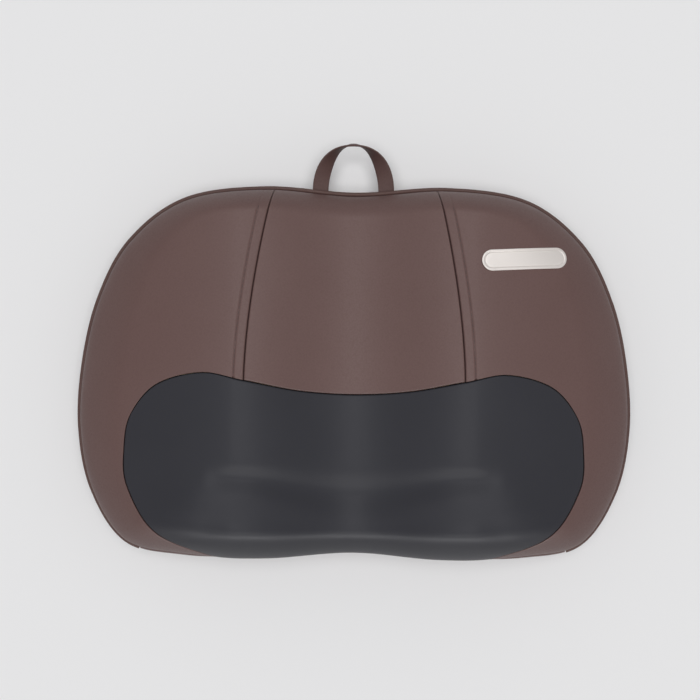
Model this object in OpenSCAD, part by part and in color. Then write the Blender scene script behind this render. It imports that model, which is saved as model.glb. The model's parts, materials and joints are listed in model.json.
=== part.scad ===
// Shiatsu massage cushion: a padded bean-shaped pillow with two kneading rotors
// under a charcoal pad, driven by one motor through a worm and two worm wheels.
// It lies on its flat back. The origin is the middle of the back, +Z is the front,
// +X is the user's right and +Y points to the edge with the carry loop.

/* [Cushion] */
// Width across the two wings
body_w = 420; // [380:1:520]
// Height from the bottom edge to the top edge, without the loop
body_h = 282; // [260:1:350]
// Thickness of the padded covers on the front
cover_t = 5; // [3:0.5:8]
// Thickness of the stretch pad over the rotors
pad_t = 8; // [5:0.5:12]
// Thickness of the flat back panel
back_t = 3; // [2:0.5:5]
// Height of the seam between the side band and the front
seam_z = 36; // [28:1:46]
// Height of the front at the middle of the top edge
top_z = 58; // [50:1:75]
// How far the two ridges stand over the groove between them
ridge_rise = 18; // [8:1:26]
// Distance of the ridges from the middle line
ridge_x = 88; // [70:1:100]
// How far the front falls from a ridge to the side edge
wing_fall = 36; // [20:1:45]
// Thickness of the piping cord round the front edge
piping_d = 3.5; // [2.5:0.5:5]

/* [Pad] */
// Distance from the side edge to the pad
pad_margin = 42; // [36:1:60]
// Height of the pad's two humps over the bottom edge
pad_h = 141; // [130:1:170]
// Half width of the pad where it runs over the bottom edge
pad_foot = 100; // [85:1:120]
// Half width between the wing seams where they meet the pad
seam_low_x = 80; // [66:1:92]
// Half width between the wing seams at the top edge
seam_top_x = 60; // [45:1:75]

/* [Drive] */
// Diameter of the motor
motor_d = 28; // [24:1:36]
// Length of the motor can
motor_len = 48; // [40:1:60]
// Gear module
gear_m = 2; // [1.5:0.1:2.4]
// Teeth on each worm wheel
wheel_teeth = 46; // [40:2:50]
// Pitch diameter of the worm
worm_d = 16; // [14:1:20]
// Width of the worm wheels
wheel_t = 8; // [6:0.5:10]
// Diameter of the fixed axles
axle_d = 8; // [6:0.5:10]
// Distance of a massage head from its rotor's axle
head_orbit = 28; // [24:1:32]
// Diameter of a massage head
head_d = 38; // [30:1:40]
// Height of a massage head
head_h = 22; // [18:1:28]
// Wall of the gear housing
wall = 2.5; // [2:0.5:4]

/* [Controls] */
// Diameter of the two push buttons
button_d = 12; // [8:0.5:14]
// Travel of the push buttons
button_travel = 1.2; // [0.6:0.1:1.6]

/* [Loop and badge] */
// Width of the loop's strap
strap_w = 12; // [8:0.5:16]
// Thickness of the loop's strap
strap_t = 1.6; // [1:0.2:2.4]
// How far the loop stands over the top edge
loop_rise = 35; // [25:1:45]
// Distance between the middles of the loop's two legs
loop_span = 50; // [36:1:64]
// Length of the badge
badge_l = 64; // [40:1:70]
// Width of the badge
badge_w = 15.5; // [10:0.5:20]

/* [Hidden] */
$fn = 48;

leather = [0.40, 0.33, 0.32];
charcoal = [0.24, 0.24, 0.25];
steel = [0.72, 0.73, 0.75];
brass = [0.75, 0.62, 0.35];
white_plastic = [0.88, 0.87, 0.84];
black_plastic = [0.12, 0.12, 0.13];

// Clearances: soft pieces, sewn edges, running fits and free space round moving parts
soft_gap = 0.3;
sewn_gap = 1;
run_gap = 0.06;
free_gap = 1;
eps = 0.01;

// Outline of the cushion as shares of its half width and half height, from the
// middle of the top edge round the right side to the middle of the bottom edge
outline_shape = [
  [0, 0.97], [0.33, 1], [0.62, 0.935], [0.82, 0.71], [0.93, 0.405], [0.985, 0.06],
  [0.998, -0.3], [0.95, -0.64], [0.825, -0.915], [0.62, -0.985], [0.31, -1], [0, -0.97]
];
half_w = body_w / 2;
half_h = body_h / 2;
top_y = half_h;
low_y = -half_h;

// Insets from the outline: front covers, band's inner side, back panel, foam
panel_inset = 4.2;
band_in = 3.3;
back_inset = 3.6;
foam_inset = 12;

// Drive heights, from the back to the pad
motor_lift = 1.7;
arm_lift = 1.2;
core_lift = 0.4;
head_room = 5;
house_z = back_t + soft_gap;
motor_z = house_z + wall + motor_lift + motor_d / 2;
clamp_t = 1.2;
lid_top = motor_z + motor_d / 2 + clamp_t + free_gap + wall;
arm_z = lid_top + arm_lift;
arm_t = 6;
core_z = arm_z + arm_t + core_lift;
head_top = core_z + head_h;
massage_z = head_top + head_room + pad_t;

// Gears
pitch = PI * gear_m;
wheel_r = gear_m * wheel_teeth / 2;
worm_r = worm_d / 2;
rotor_x = wheel_r + worm_r;
addendum = 0.9 * gear_m;
dedendum = 1.2 * gear_m;
backlash = 0.2 * gear_m;
pressure_angle = 20;
flank = tan(pressure_angle);
worm_len = 38;
shaft_r = 2;

// Battery of two cells in a holder, beside the rib that carries the motor
rib_w = motor_d / 2 + clamp_t + 8;
cell_r = 9.2;
cell_len = 65;
cell_gap = 0.6;
cell_span = 4 * cell_r + cell_gap;
cell_off = 4;
cell_top_room = 5;
holder_t = 0.8;
holder_end = 2;
holder_side = 1.5;
holder_h = 11;

// Housing, round the wheels, with the motor, battery and board above them
boss_r = 3.6;
boss_in = boss_r + wall + 1.2;
mech_y = low_y + 77;
wheel_room = 2;
wheel_tip = wheel_r + addendum;
nose_len = 3;
wire_room = 18;
wheel_house_x = rotor_x + wheel_tip + wheel_room + wall;
cell_house_x = rib_w + cell_off + cell_len + holder_end + free_gap + boss_r + boss_in;
house_x = max(wheel_house_x, cell_house_x);
house_low = mech_y - wheel_tip - wheel_room - wall;
motor_y = mech_y + sqrt(pow(wheel_tip, 2) - pow(rotor_x - motor_d / 2 - wheel_room, 2)) + nose_len;
motor_house_top = motor_y + motor_len + wire_room;
cell_house_top = mech_y + wheel_tip + wheel_room + holder_side + cell_span + cell_top_room + wall;
house_top = max(motor_house_top, cell_house_top);
house_r = 12;
screw_r = 1.5;

// Control panel in the right side band, at the cushion's widest place
pod_y = low_y + 117;
pod_l = 56;
pod_h = 22;
pod_z = 8;
pod_mid_z = pod_z + pod_h / 2;
bezel_t = 1.6;
bezel_inset = 5;
bezel_x = half_w - bezel_inset;
pod_depth = 19;
pod_x = bezel_x - pod_depth;
button_y = [pod_y + 15, pod_y - 3];
port_y = pod_y - 18;

// Small functions
function clamp(v, lo, hi) = min(max(v, lo), hi);
function mix(a, b, t) = a + (b - a) * t;
function unit(v) = v / norm(v);
function smooth(t) = let (c = clamp(t, 0, 1)) c * c * (3 - 2 * c);
function bump(y, at, wide) = exp(-pow((y - at) / wide, 2));

// A smooth curve from b to c, with a and d the points before and after them
function curve(a, b, c, d, t) =
  let (square_part = 2 * a - 5 * b + 4 * c - d, cube_part = 3 * b - a - 3 * c + d)
  0.5 * (2 * b + (c - a) * t + square_part * t * t + cube_part * t * t * t);
// A closed curve through a list of points, at parameter k in points
function closed_at(points, k) =
  let (n = len(points), i = floor(k) + 2 * n)
  curve(points[(i - 1) % n], points[i % n], points[(i + 1) % n], points[(i + 2) % n], k - floor(k));

last_half = len(outline_shape) - 1;
outline_half = [for (p = outline_shape) [p.x * half_w, p.y * half_h]];
outline = concat(
  outline_half,
  [for (i = [last_half - 1 : -1 : 1]) [-outline_half[i].x, outline_half[i].y]]
);
turns = len(outline);

// The outline at k, moved inwards; k 0 is the top middle and it runs clockwise
step_k = 0.02;
function edge_dir(k) = unit(closed_at(outline, k + step_k) - closed_at(outline, k - step_k));
function inward(k) = let (d = edge_dir(k)) [d.y, -d.x];
function edge_at(k, inset) = closed_at(outline, k) + inset * inward(k);

// The k on the right side between lo and hi where the inset edge has the wanted x
function edge_k(x, inset, lo, hi, tries = 24) =
  let (mid = (lo + hi) / 2)
  tries == 0 ? mid
  : (edge_at(mid, inset).x - x) * (edge_at(hi, inset).x - x) > 0
    ? edge_k(x, inset, lo, mid, tries - 1)
    : edge_k(x, inset, mid, hi, tries - 1);

// Points along the front seam, for the distance from it
seam_steps = 6;
front_seam = [for (i = [0 : turns * seam_steps - 1]) edge_at(i / seam_steps, panel_inset)];
seam_n = len(front_seam);
function to_segment(p, a, b) =
  let (ab = b - a, t = clamp(((p - a) * ab) / (ab * ab), 0, 1))
  norm(p - a - t * ab);

// Distance from the front seam, and how far the front takes to round over there
round_side = 36;
round_top = 18;
round_low = 30;
seam_flat = 0.25;
function edge_near(p) =
  let (gaps = [for (q = front_seam) (p - q) * (p - q)])
  let (i = search(min(gaps), gaps)[0])
  let (a = front_seam[(i - 1 + seam_n) % seam_n], b = front_seam[i], c = front_seam[(i + 1) % seam_n])
  let (n = inward(i / seam_steps))
  [max(0, min(to_segment(p, a, b), to_segment(p, b, c)) - seam_flat),
   round_side * n.x * n.x + (n.y < 0 ? round_top : round_low) * n.y * n.y];

// Height of the front: a groove between two ridges, falling to the top edge, with a
// soft crest, a shallow trough and a lip across the pad, rounded over at the seam
crest_y = low_y + 73;
crest_rise = 3.5;
crest_wide = 10;
trough_y = low_y + 57;
trough_fall = 5;
trough_wide = 10;
lip_y = low_y + 23;
lip_rise = 3;
lip_wide = 8;
fold_x = 84;
fold_fade = 44;
fold_mid = 0.65;
function fold_share(x) = mix(fold_mid, 1, bump(abs(x), fold_x, fold_fade))
  * (1 - smooth((abs(x) - fold_x) / fold_fade));
function folds(y) =
  crest_rise * bump(y, crest_y, crest_wide) - trough_fall * bump(y, trough_y, trough_wide)
  + lip_rise * bump(y, lip_y, lip_wide);
function spine_z(p) =
  let (t = clamp((top_y - p.y) / (top_y - mech_y), 0, 1))
  mix(top_z, massage_z, sin(90 * t)) + fold_share(p.x) * folds(p.y);
fall_power = 1.5;
function ridge_z(x) =
  let (a = abs(x))
  a < ridge_x ? ridge_rise * (1 - cos(180 * a / ridge_x)) / 2
  : ridge_rise - wing_fall * pow((a - ridge_x) / (half_w - ridge_x), fall_power);
function swell(t) = sqrt(1 - pow(1 - clamp(t, 0, 1), 2));
function front_z(p) =
  let (e = edge_near(p))
  seam_z + (spine_z(p) + ridge_z(p.x) - seam_z) * swell(e[0] / e[1]);

// The pad's edge from the top middle (q 0) to its foot on the right, then mirrored
pad_x = half_w - pad_margin;
pad_top = low_y + pad_h;
foot_k = edge_k(pad_foot, panel_inset, 8, 10.8);
pad_half = [
  [0, pad_top - 15.5], [seam_low_x / 2, pad_top - 13], [seam_low_x, pad_top - 5.5],
  [pad_x - 57, pad_top], [pad_x - 24, pad_top - 9], [pad_x - 5, pad_top - 31], [pad_x, pad_top - 55],
  [pad_x - 2, pad_top - 85], [pad_x - 19, pad_top - 119], edge_at(foot_k, panel_inset)
];
pad_last = len(pad_half) - 1;
seam_q = 2;
corner_q = 5;
function pad_known(i) =
  i < 0 ? [-pad_half[-i].x, pad_half[-i].y]
  : i > pad_last ? 2 * pad_half[pad_last] - pad_half[2 * pad_last - i]
  : pad_half[i];
function pad_curve(q) =
  let (i = min(floor(q), pad_last - 1))
  curve(pad_known(i - 1), pad_known(i), pad_known(i + 1), pad_known(i + 2), q - i);
// A point of the pad's edge moved away from the pad by out
function pad_edge(q, out) =
  let (s = q < 0 ? -1 : 1, a = abs(q))
  let (d = unit(pad_curve(a + step_k) - pad_curve(a - step_k)), p = pad_curve(a))
  [s * (p.x - d.y * out), p.y + d.x * out];

// Half width between the two wing seams at height y
seam_join_y = pad_half[seam_q].y;
seam_power = 1.7;
function seam_x(y) =
  let (t = clamp((y - seam_join_y) / (top_y - seam_join_y), 0, 1))
  mix(seam_low_x, seam_top_x, pow(t, seam_power));

// A closed slab between two grids of points, rows towards +Y and columns towards +X
module slab(top, bottom) {
  rows = len(top);
  cols = len(top[0]);
  n = rows * cols;
  points = concat([for (r = top) for (p = r) p], [for (r = bottom) for (p = r) p]);
  faces = concat(
    [for (i = [0 : rows - 2]) for (j = [0 : cols - 2]) let (a = i * cols + j)
      each [[a, a + cols, a + cols + 1], [a, a + cols + 1, a + 1],
            [n + a, n + a + cols + 1, n + a + cols], [n + a, n + a + 1, n + a + cols + 1]]],
    [for (j = [0 : cols - 2]) let (a = j, z = (rows - 1) * cols + j)
      each [[n + a, a, a + 1], [n + a, a + 1, n + a + 1],
            [n + z, z + 1, z], [n + z, n + z + 1, z + 1]]],
    [for (i = [0 : rows - 2]) let (a = i * cols, z = i * cols + cols - 1)
      each [[n + a, a + cols, a], [n + a, n + a + cols, a + cols],
            [n + z, z, z + cols], [n + z, z + cols, n + z + cols]]]
  );
  polyhedron(points, faces);
}

// A tube through rings of points, each ring anticlockwise seen from its far side
module tube(rings) {
  m = len(rings[0]);
  last = (len(rings) - 1) * m;
  faces = concat(
    [for (i = [0 : len(rings) - 2]) for (j = [0 : m - 1])
      let (a = i * m + j, b = i * m + (j + 1) % m)
      each [[a, b + m, b], [a, a + m, b + m]]],
    [[for (j = [0 : m - 1]) j], [for (j = [m - 1 : -1 : 0]) last + j]]
  );
  polyhedron([for (r = rings) for (p = r) p], faces);
}

// A point between four boundary curves, from their points at u and v and their corners
function filled(low, high, left, right, u, v, c00, c10, c01, c11) =
  (1 - v) * low + v * high + (1 - u) * left + u * right
  - (1 - u) * (1 - v) * c00 - u * (1 - v) * c10 - (1 - u) * v * c01 - u * v * c11;

// Front covers: shells of one thickness under the front's form
function lifted(grid, up) = [for (r = grid) [for (p = r) [p.x, p.y, p.z + up]]];
stitch_dip = 2;
// Steps from 0 to 1 that get closer towards 1
function closing(t, power) = 1 - pow(1 - t, power);

// Center cover, from the pad up to the top edge between the two seams
center_cols = 20;
center_rows = 16;
row_power = 1.6;
center_k = edge_k(seam_top_x - sewn_gap / 2, panel_inset, 0, 2);
center_grid = [for (i = [0 : center_rows]) [for (j = [0 : center_cols])
  let (v = i / center_rows, u = 2 * j / center_cols - 1)
  let (low = pad_edge(u * seam_q, sewn_gap / 2), high = edge_at(u * center_k, panel_inset))
  let (y = mix(low.y, high.y, closing(v, row_power)))
  let (p = [u * (seam_x(y) - sewn_gap / 2), y])
  let (rim = (j == 0 || j == center_cols || i == 0) ? stitch_dip : 0)
  [p.x, p.y, front_z(p) - rim]]];
module center_cover() color(leather) slab(center_grid, lifted(center_grid, -cover_t));

// Right wing cover, from the pad's foot round the side to the top edge; the left one mirrors it
wing_cols = 13;
wing_pitch = 20;
wing_pad_rows = ceil(body_w / wing_pitch);
foot_power = 1.25;
function foot_share(i) = pow(i / wing_pad_rows, foot_power);
wing_seam_rows = 10;
wing_rows = wing_pad_rows + wing_seam_rows;
wing_tip_w = 5;
wing_top_k = edge_k(seam_top_x + sewn_gap / 2 + wing_tip_w, panel_inset, 0, 2);
wing_low_k = foot_k - 0.1;
wing_join_k = 4.3;
wing_join_q = seam_q + 0.15;
column_power = 1.3;
function wing_share(i) = closing((i - wing_pad_rows) / wing_seam_rows, row_power);
function wing_inner(i) =
  i <= wing_pad_rows ? pad_edge(mix(pad_last, wing_join_q, foot_share(i)), sewn_gap / 2)
  : let (y = mix(seam_join_y, edge_at(center_k, panel_inset).y, wing_share(i)))
    [seam_x(y) + sewn_gap / 2, y];
function wing_outer(i) =
  i <= wing_pad_rows ? edge_at(mix(wing_low_k, wing_join_k, foot_share(i)), panel_inset)
  : edge_at(mix(wing_join_k, wing_top_k, wing_share(i)), panel_inset);
wing_grid = [for (i = [0 : wing_rows]) [for (j = [0 : wing_cols])
  let (p = mix(wing_inner(i), wing_outer(i), closing(j / wing_cols, column_power)))
  [p.x, p.y, front_z(p) - (j == 0 ? stitch_dip : 0)]]];
module wing_cover() slab(wing_grid, lifted(wing_grid, -cover_t));
module right_wing_cover() color(leather) wing_cover();
module left_wing_cover() color(leather) mirror([1, 0, 0]) wing_cover();

// Massage pad: the stretch panel over the rotors, rolled over the bottom edge
pad_cols = 30;
pad_pitch = 25;
pad_rows = ceil(body_w / pad_pitch);
pad_power = 1.5;
pad_out = -sewn_gap / 2;
pad_low_l = edge_at(turns - foot_k, panel_inset) + [sewn_gap, 0];
pad_low_r = edge_at(foot_k, panel_inset) - [sewn_gap, 0];
function pad_low(u) =
  let (p = edge_at(mix(turns - foot_k, foot_k, u), panel_inset))
  u == 0 ? pad_low_l : u == 1 ? pad_low_r : p;
function pad_high(u) = pad_edge(mix(-corner_q, corner_q, u), pad_out);
function pad_side(v, s) =
  v == 0 ? (s < 0 ? pad_low_l : pad_low_r)
  : pad_edge(s * mix(pad_last, corner_q, v), pad_out);
pad_grid = [for (i = [0 : pad_rows]) [for (j = [0 : pad_cols])
  let (u = j / pad_cols, v = pow(i / pad_rows, pad_power))
  let (p = filled(pad_low(u), pad_high(u), pad_side(v, -1), pad_side(v, 1), u, v,
                  pad_low(0), pad_low(1), pad_high(0), pad_high(1)))
  let (rim = i > 0 && (i == pad_rows || j == 0 || j == pad_cols) ? stitch_dip : 0)
  [p.x, p.y, front_z(p) - rim]]];
module massage_pad() color(charcoal) slab(pad_grid, lifted(pad_grid, -pad_t));

// Side band and bottom band: bulged strips between the front seam and the back
band_low = back_t + 0.4;
band_top = seam_z - 0.9;
// Inset and share of the band's height, up its bulged outer side and down its inner side
band_ring = [[2.4, 0], [0.9, 0.22], [0.4, 0.55], [1, 0.85], [2.3, 1], [band_in, 1], [band_in, 0]];
function band_rings(from, to, steps) =
  [for (i = [0 : steps]) let (k = mix(from, to, i / steps))
    [for (c = band_ring) let (p = edge_at(k, c[0])) [p.x, p.y, mix(band_low, band_top, c[1])]]];
corner_k = 8.3;
corner_gap_k = 0.012;
side_steps = 72;
bottom_steps = 30;
module side_band() color(leather) difference() {
  tube(band_rings(-corner_k, corner_k, side_steps));
  translate([pod_x, pod_y - pod_l / 2 - soft_gap, pod_z - soft_gap])
    cube([2 * pod_depth, pod_l + 2 * soft_gap, pod_h + 2 * soft_gap]);
}
module bottom_band() color(leather)
  tube(band_rings(corner_k + corner_gap_k, turns - corner_k - corner_gap_k, bottom_steps));

// Piping cord along the front seam, from one bottom corner round the top to the other
piping_sides = 8;
piping_gap = 0.35;
piping_z = band_top + piping_d / 2 + piping_gap;
module edge_piping() color(leather) tube([for (i = [0 : side_steps])
  let (k = mix(-corner_k, corner_k, i / side_steps), r = piping_d / 2)
  [for (j = [0 : piping_sides - 1])
    let (a = 360 * j / piping_sides, p = edge_at(k, r * (1 - cos(a))))
    [p.x, p.y, piping_z + r * sin(a)]]]);

module back_panel() color(charcoal) linear_extrude(back_t)
  polygon([for (i = [0 : turns * seam_steps - 1]) edge_at(i / seam_steps, back_inset)]);

// Badge: a thin plate with round ends that follows the right wing
badge_x = half_w - 86;
badge_y = top_y - 56;
badge_tilt = 1.3;
badge_t = 1.2;
badge_cols = 16;
badge_rows = 4;
badge_end = 1;
function badge_half(x) =
  let (past = max(0, abs(x) - (badge_l - badge_w) / 2))
  sqrt(max(badge_end, badge_w * badge_w / 4 - past * past));
function badge_grid(up) = [for (i = [0 : badge_rows]) [for (j = [0 : badge_cols])
  let (x = badge_l / 2 * sin(90 * (2 * j / badge_cols - 1)))
  let (y = badge_half(x) * (2 * i / badge_rows - 1))
  let (p = [badge_x + x * cos(badge_tilt) - y * sin(badge_tilt),
            badge_y + x * sin(badge_tilt) + y * cos(badge_tilt)])
  [p.x, p.y, front_z(p) + up]]];
module badge() color("gainsboro") slab(badge_grid(soft_gap + badge_t), badge_grid(soft_gap));

// Carry loop: a strap sewn in at the top edge, twisted so that its top lies flat
loop_x = -2;
loop_drop = 1.6;
loop_tuck = 0.2;
loop_z = piping_z - piping_d / 2 - strap_t - loop_drop;
loop_y = edge_at(edge_k(loop_span / 2 + strap_w / 2, 0, 0, 2), 0).y - loop_tuck;
loop_steps = 36;
loop_twist = 108;
twist_power = 1.4;
function loop_ring(t) =
  let (a = 180 * (1 - t), f = 1 - abs(2 * t - 1))
  let (out = unit([cos(a) * loop_rise, sin(a) * loop_span / 2, 0]))
  let (along = [out.y, -out.x, 0], twist = loop_twist * pow(f, twist_power))
  let (w = out * cos(twist) + [0, 0, sin(twist)], n = cross(along, w))
  let (mid = [loop_x + loop_span / 2 * cos(a), loop_y + loop_rise * sin(a), loop_z])
  [for (c = [[-1, -1], [1, -1], [1, 1], [-1, 1]])
    mid + c[0] * w * strap_w / 2 + c[1] * n * strap_t / 2];
module carry_loop() color(leather) tube([for (i = [0 : loop_steps]) loop_ring(i / loop_steps)]);

// Foam blocks: at both sides of the gear housing, above it and over its lid
foam_drop = max(cover_t, pad_t) + 4;
foam_cols = 10;
foam_rows = 14;
foam_gap = 1.2;
foam_side_x = house_x + foam_gap;
side_tip_w = 14;
side_rim = 3;
side_low_k = 8.2;
side_high_k = edge_k(foam_side_x + side_tip_w, foam_inset, 0.5, 3);
foam_low = low_y + 24;
foam_high = edge_at(side_high_k, foam_inset).y - side_rim;
function side_foam_grid(top) = [for (i = [0 : foam_rows]) [for (j = [0 : foam_cols])
  let (v = i / foam_rows, u = j / foam_cols)
  let (inner = [foam_side_x, mix(foam_low, foam_high, v)])
  let (p = mix(inner, edge_at(mix(side_low_k, side_high_k, v), foam_inset), u))
  [p.x, p.y, top ? front_z(p) - foam_drop : house_z]]];
module side_foam() slab(side_foam_grid(true), side_foam_grid(false));
module left_foam() color("khaki") mirror([1, 0, 0]) side_foam();
cable_r = 1.5;
cable_z = house_z + wall + 0.5 + cable_r;
module right_foam() color("khaki") difference() {
  side_foam();
  translate([pod_x - free_gap, pod_y - pod_l / 2 - free_gap, 0])
    cube([2 * pod_depth, pod_l + 2 * free_gap, pod_z + pod_h + free_gap]);
  translate([house_x, pod_y - 2 * cable_r, 0])
    cube([pod_x - house_x, 4 * cable_r, cable_z + 2 * cable_r]);
}
upper_k = edge_k(house_x, foam_inset, 0.5, 3);
function upper_foam_grid(top) = [for (i = [0 : foam_rows / 2]) [for (j = [0 : foam_rows])
  let (v = 2 * i / foam_rows, u = 2 * j / foam_rows - 1)
  let (p = mix([u * house_x, house_top + foam_gap], edge_at(u * upper_k, foam_inset), v))
  [p.x, p.y, top ? front_z(p) - foam_drop : house_z]]];
module upper_foam() color("khaki") slab(upper_foam_grid(true), upper_foam_grid(false));
sweep_room = 3;
sweep_y = mech_y + head_orbit + head_d / 2 + sweep_room;
function center_foam_grid(top) = [for (i = [0 : foam_rows / 2]) [for (j = [0 : foam_rows])
  let (v = 2 * i / foam_rows, u = 2 * j / foam_rows - 1)
  let (p = [u * (house_x - foam_gap), mix(sweep_y, house_top - foam_gap, v)])
  [p.x, p.y, top ? front_z(p) - foam_drop : lid_top + soft_gap]]];
module center_foam() color("khaki") slab(center_foam_grid(true), center_foam_grid(false));

// Gear housing: a tray and a lid that meet at the height of the worm
module round_rect(w, h, r) {
  square([w - 2 * r, h], center = true);
  square([w, h - 2 * r], center = true);
  for (x = [-1, 1], y = [-1, 1]) translate([x * (w / 2 - r), y * (h / 2 - r)]) circle(r);
}
module house_plan(inset) translate([0, (house_low + house_top) / 2])
  round_rect(2 * (house_x - inset), house_top - house_low - 2 * inset, house_r - inset);
screw_spots = [
  [-house_x + boss_in, house_low + boss_in], [house_x - boss_in, house_low + boss_in],
  [-house_x + boss_in, house_top - boss_in], [house_x - boss_in, house_top - boss_in],
  [0, house_low + boss_in]
];
split_z = motor_z;
floor_z = house_z + wall;
axle_r = axle_d / 2;
axle_boss_r = axle_r + 3.5;
wheel_z = motor_z - wheel_t / 2;
wheel_lift = 0.6;
foot_z = house_z + wall / 2;
axle_z = house_z + 0.6;
rib_t = 10;
rib_y = motor_y + motor_len / 2;
rib_top = motor_z - 4;
board_w = 62;
board_l = 34;
board_x = rib_w + 3;
board_y = motor_y + 24;
board_z = floor_z + 5;
board_t = 1.6;
post_r = 2.5;
post_in = 4;
post_spots = [
  for (x = [post_in, board_w - post_in], y = [post_in, board_l - post_in]) [board_x + x, board_y + y]
];
hub_r = axle_r + 9;
hub_open_r = hub_r + 1.5;
can_gap = 0.05;
module motor_tube(r, from, to)
  translate([0, from, motor_z]) rotate([-90, 0, 0]) cylinder(h = to - from, r = r);
module lower_housing() color(white_plastic) difference() {
  union() {
    difference() {
      translate([0, 0, house_z]) linear_extrude(split_z - house_z) house_plan(0);
      translate([0, 0, floor_z]) linear_extrude(split_z) house_plan(wall);
    }
    for (s = screw_spots) translate([s.x, s.y, foot_z]) cylinder(h = split_z - foot_z, r = boss_r);
    for (x = [-rotor_x, rotor_x]) translate([x, mech_y, foot_z])
      cylinder(h = wheel_z - wheel_lift - foot_z, r = axle_boss_r);
    for (s = post_spots) translate([s.x, s.y, foot_z]) cylinder(h = board_z - foot_z, r = post_r);
    translate([-rib_w, rib_y - rib_t / 2, foot_z]) cube([2 * rib_w, rib_t, rib_top - foot_z]);
  }
  for (s = screw_spots) translate([s.x, s.y, floor_z]) cylinder(h = split_z, r = screw_r);
  for (x = [-rotor_x, rotor_x]) translate([x, mech_y, axle_z]) cylinder(h = split_z, r = axle_r);
  motor_tube(motor_d / 2 + can_gap, rib_y - rib_t, rib_y + rib_t);
  for (x = [-1, 1]) translate([x * ear_x, rib_y, floor_z]) cylinder(h = split_z, r = screw_r);
  translate([house_x - 2 * wall, pod_y - 2 * cable_r, cable_z - 1.9 * cable_r])
    cube([3 * wall, 4 * cable_r, 4 * cable_r]);
}
lid_screw_head = 1.8;
lid_screw_gap = 0.2;
module upper_housing() color(white_plastic) difference() {
  union() {
    difference() {
      translate([0, 0, split_z]) linear_extrude(lid_top - split_z) house_plan(0);
      translate([0, 0, split_z - eps]) linear_extrude(lid_top - wall - split_z + eps) house_plan(wall);
    }
    for (s = screw_spots) translate([s.x, s.y, split_z])
      cylinder(h = lid_top - split_z - wall / 2, r = boss_r);
  }
  for (s = screw_spots) translate([s.x, s.y, split_z - eps]) {
    cylinder(h = lid_top, r = screw_r + lid_screw_gap);
    translate([0, 0, lid_top - split_z - lid_screw_head])
      cylinder(h = lid_top, r = 2 * screw_r + lid_screw_gap / 2);
  }
  for (x = [-rotor_x, rotor_x]) translate([x, mech_y, split_z]) cylinder(h = lid_top, r = hub_open_r);
}
module screw(shank, head_h) {
  translate([0, 0, -shank]) cylinder(h = shank, r = screw_r);
  cylinder(h = head_h, r = 2 * screw_r);
}
lid_screw_z = lid_top - lid_screw_head - eps;
module housing_screws() color(steel) for (s = screw_spots)
  translate([s.x, s.y, lid_screw_z]) screw(lid_screw_z - floor_z - screw_r, lid_screw_head - soft_gap);

// Motor, its clamp and its shaft, along Y
can_end = motor_y + motor_len;
block_t = 7;
block_y = mech_y - worm_len / 2 - 2 - block_t;
shaft_in = 12;
bush_t = 2;
nose_r = 5;
cap_t = 3;
cap_hub_r = 4;
cap_hub_t = 4.5;
terminal_x = 8;
terminal_r = 1.2;
module motor_can() color(steel) difference() {
  union() {
    motor_tube(motor_d / 2, motor_y, can_end);
    motor_tube(nose_r, motor_y - nose_len, motor_y + 1);
  }
  motor_tube(shaft_r + run_gap, motor_y - nose_len - 1, motor_y + shaft_in + 1);
}
module motor_end_cap() color(black_plastic) difference() {
  union() {
    motor_tube(motor_d / 2 - 0.5, can_end, can_end + cap_t);
    motor_tube(cap_hub_r, can_end, can_end + cap_hub_t);
  }
  for (x = [-terminal_x, terminal_x]) translate([x, can_end + cap_t / 2, motor_z])
    rotate([-90, 0, 0]) cylinder(h = cap_t, r = terminal_r);
}
module motor_shaft() color(steel) motor_tube(shaft_r, block_y - 1, motor_y + shaft_in);
clamp_in = motor_d / 2 + can_gap;
clamp_w = rib_t - 2;
ear_x = clamp_in + clamp_t + 4;
ear_t = 1.5;
ear_in = clamp_in + clamp_t - 0.5;
ear_out = ear_x + 4;
module motor_clamp() color(steel) difference() {
  union() {
    intersection() {
      motor_tube(clamp_in + clamp_t, rib_y - clamp_w / 2, rib_y + clamp_w / 2);
      translate([-motor_d, rib_y - clamp_w, motor_z]) cube([2 * motor_d, 2 * clamp_w, motor_d]);
    }
    for (x = [-1, 1]) {
      translate([x * (clamp_in + clamp_t / 2) - clamp_t / 2, rib_y - clamp_w / 2, rib_top])
        cube([clamp_t, clamp_w, motor_z - rib_top]);
      translate([x > 0 ? ear_in : -ear_out, rib_y - clamp_w / 2, rib_top])
        cube([ear_out - ear_in, clamp_w, ear_t]);
    }
  }
  motor_tube(clamp_in, rib_y - clamp_w, rib_y + clamp_w);
  for (x = [-1, 1]) translate([x * ear_x, rib_y, rib_top - 1])
    cylinder(h = 2 + ear_t, r = screw_r + lid_screw_gap / 2);
}
clamp_screw_l = 9;
module clamp_screws() color(steel) for (x = [-1, 1])
  translate([x * ear_x, rib_y, rib_top + ear_t]) screw(clamp_screw_l, lid_screw_head);

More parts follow.
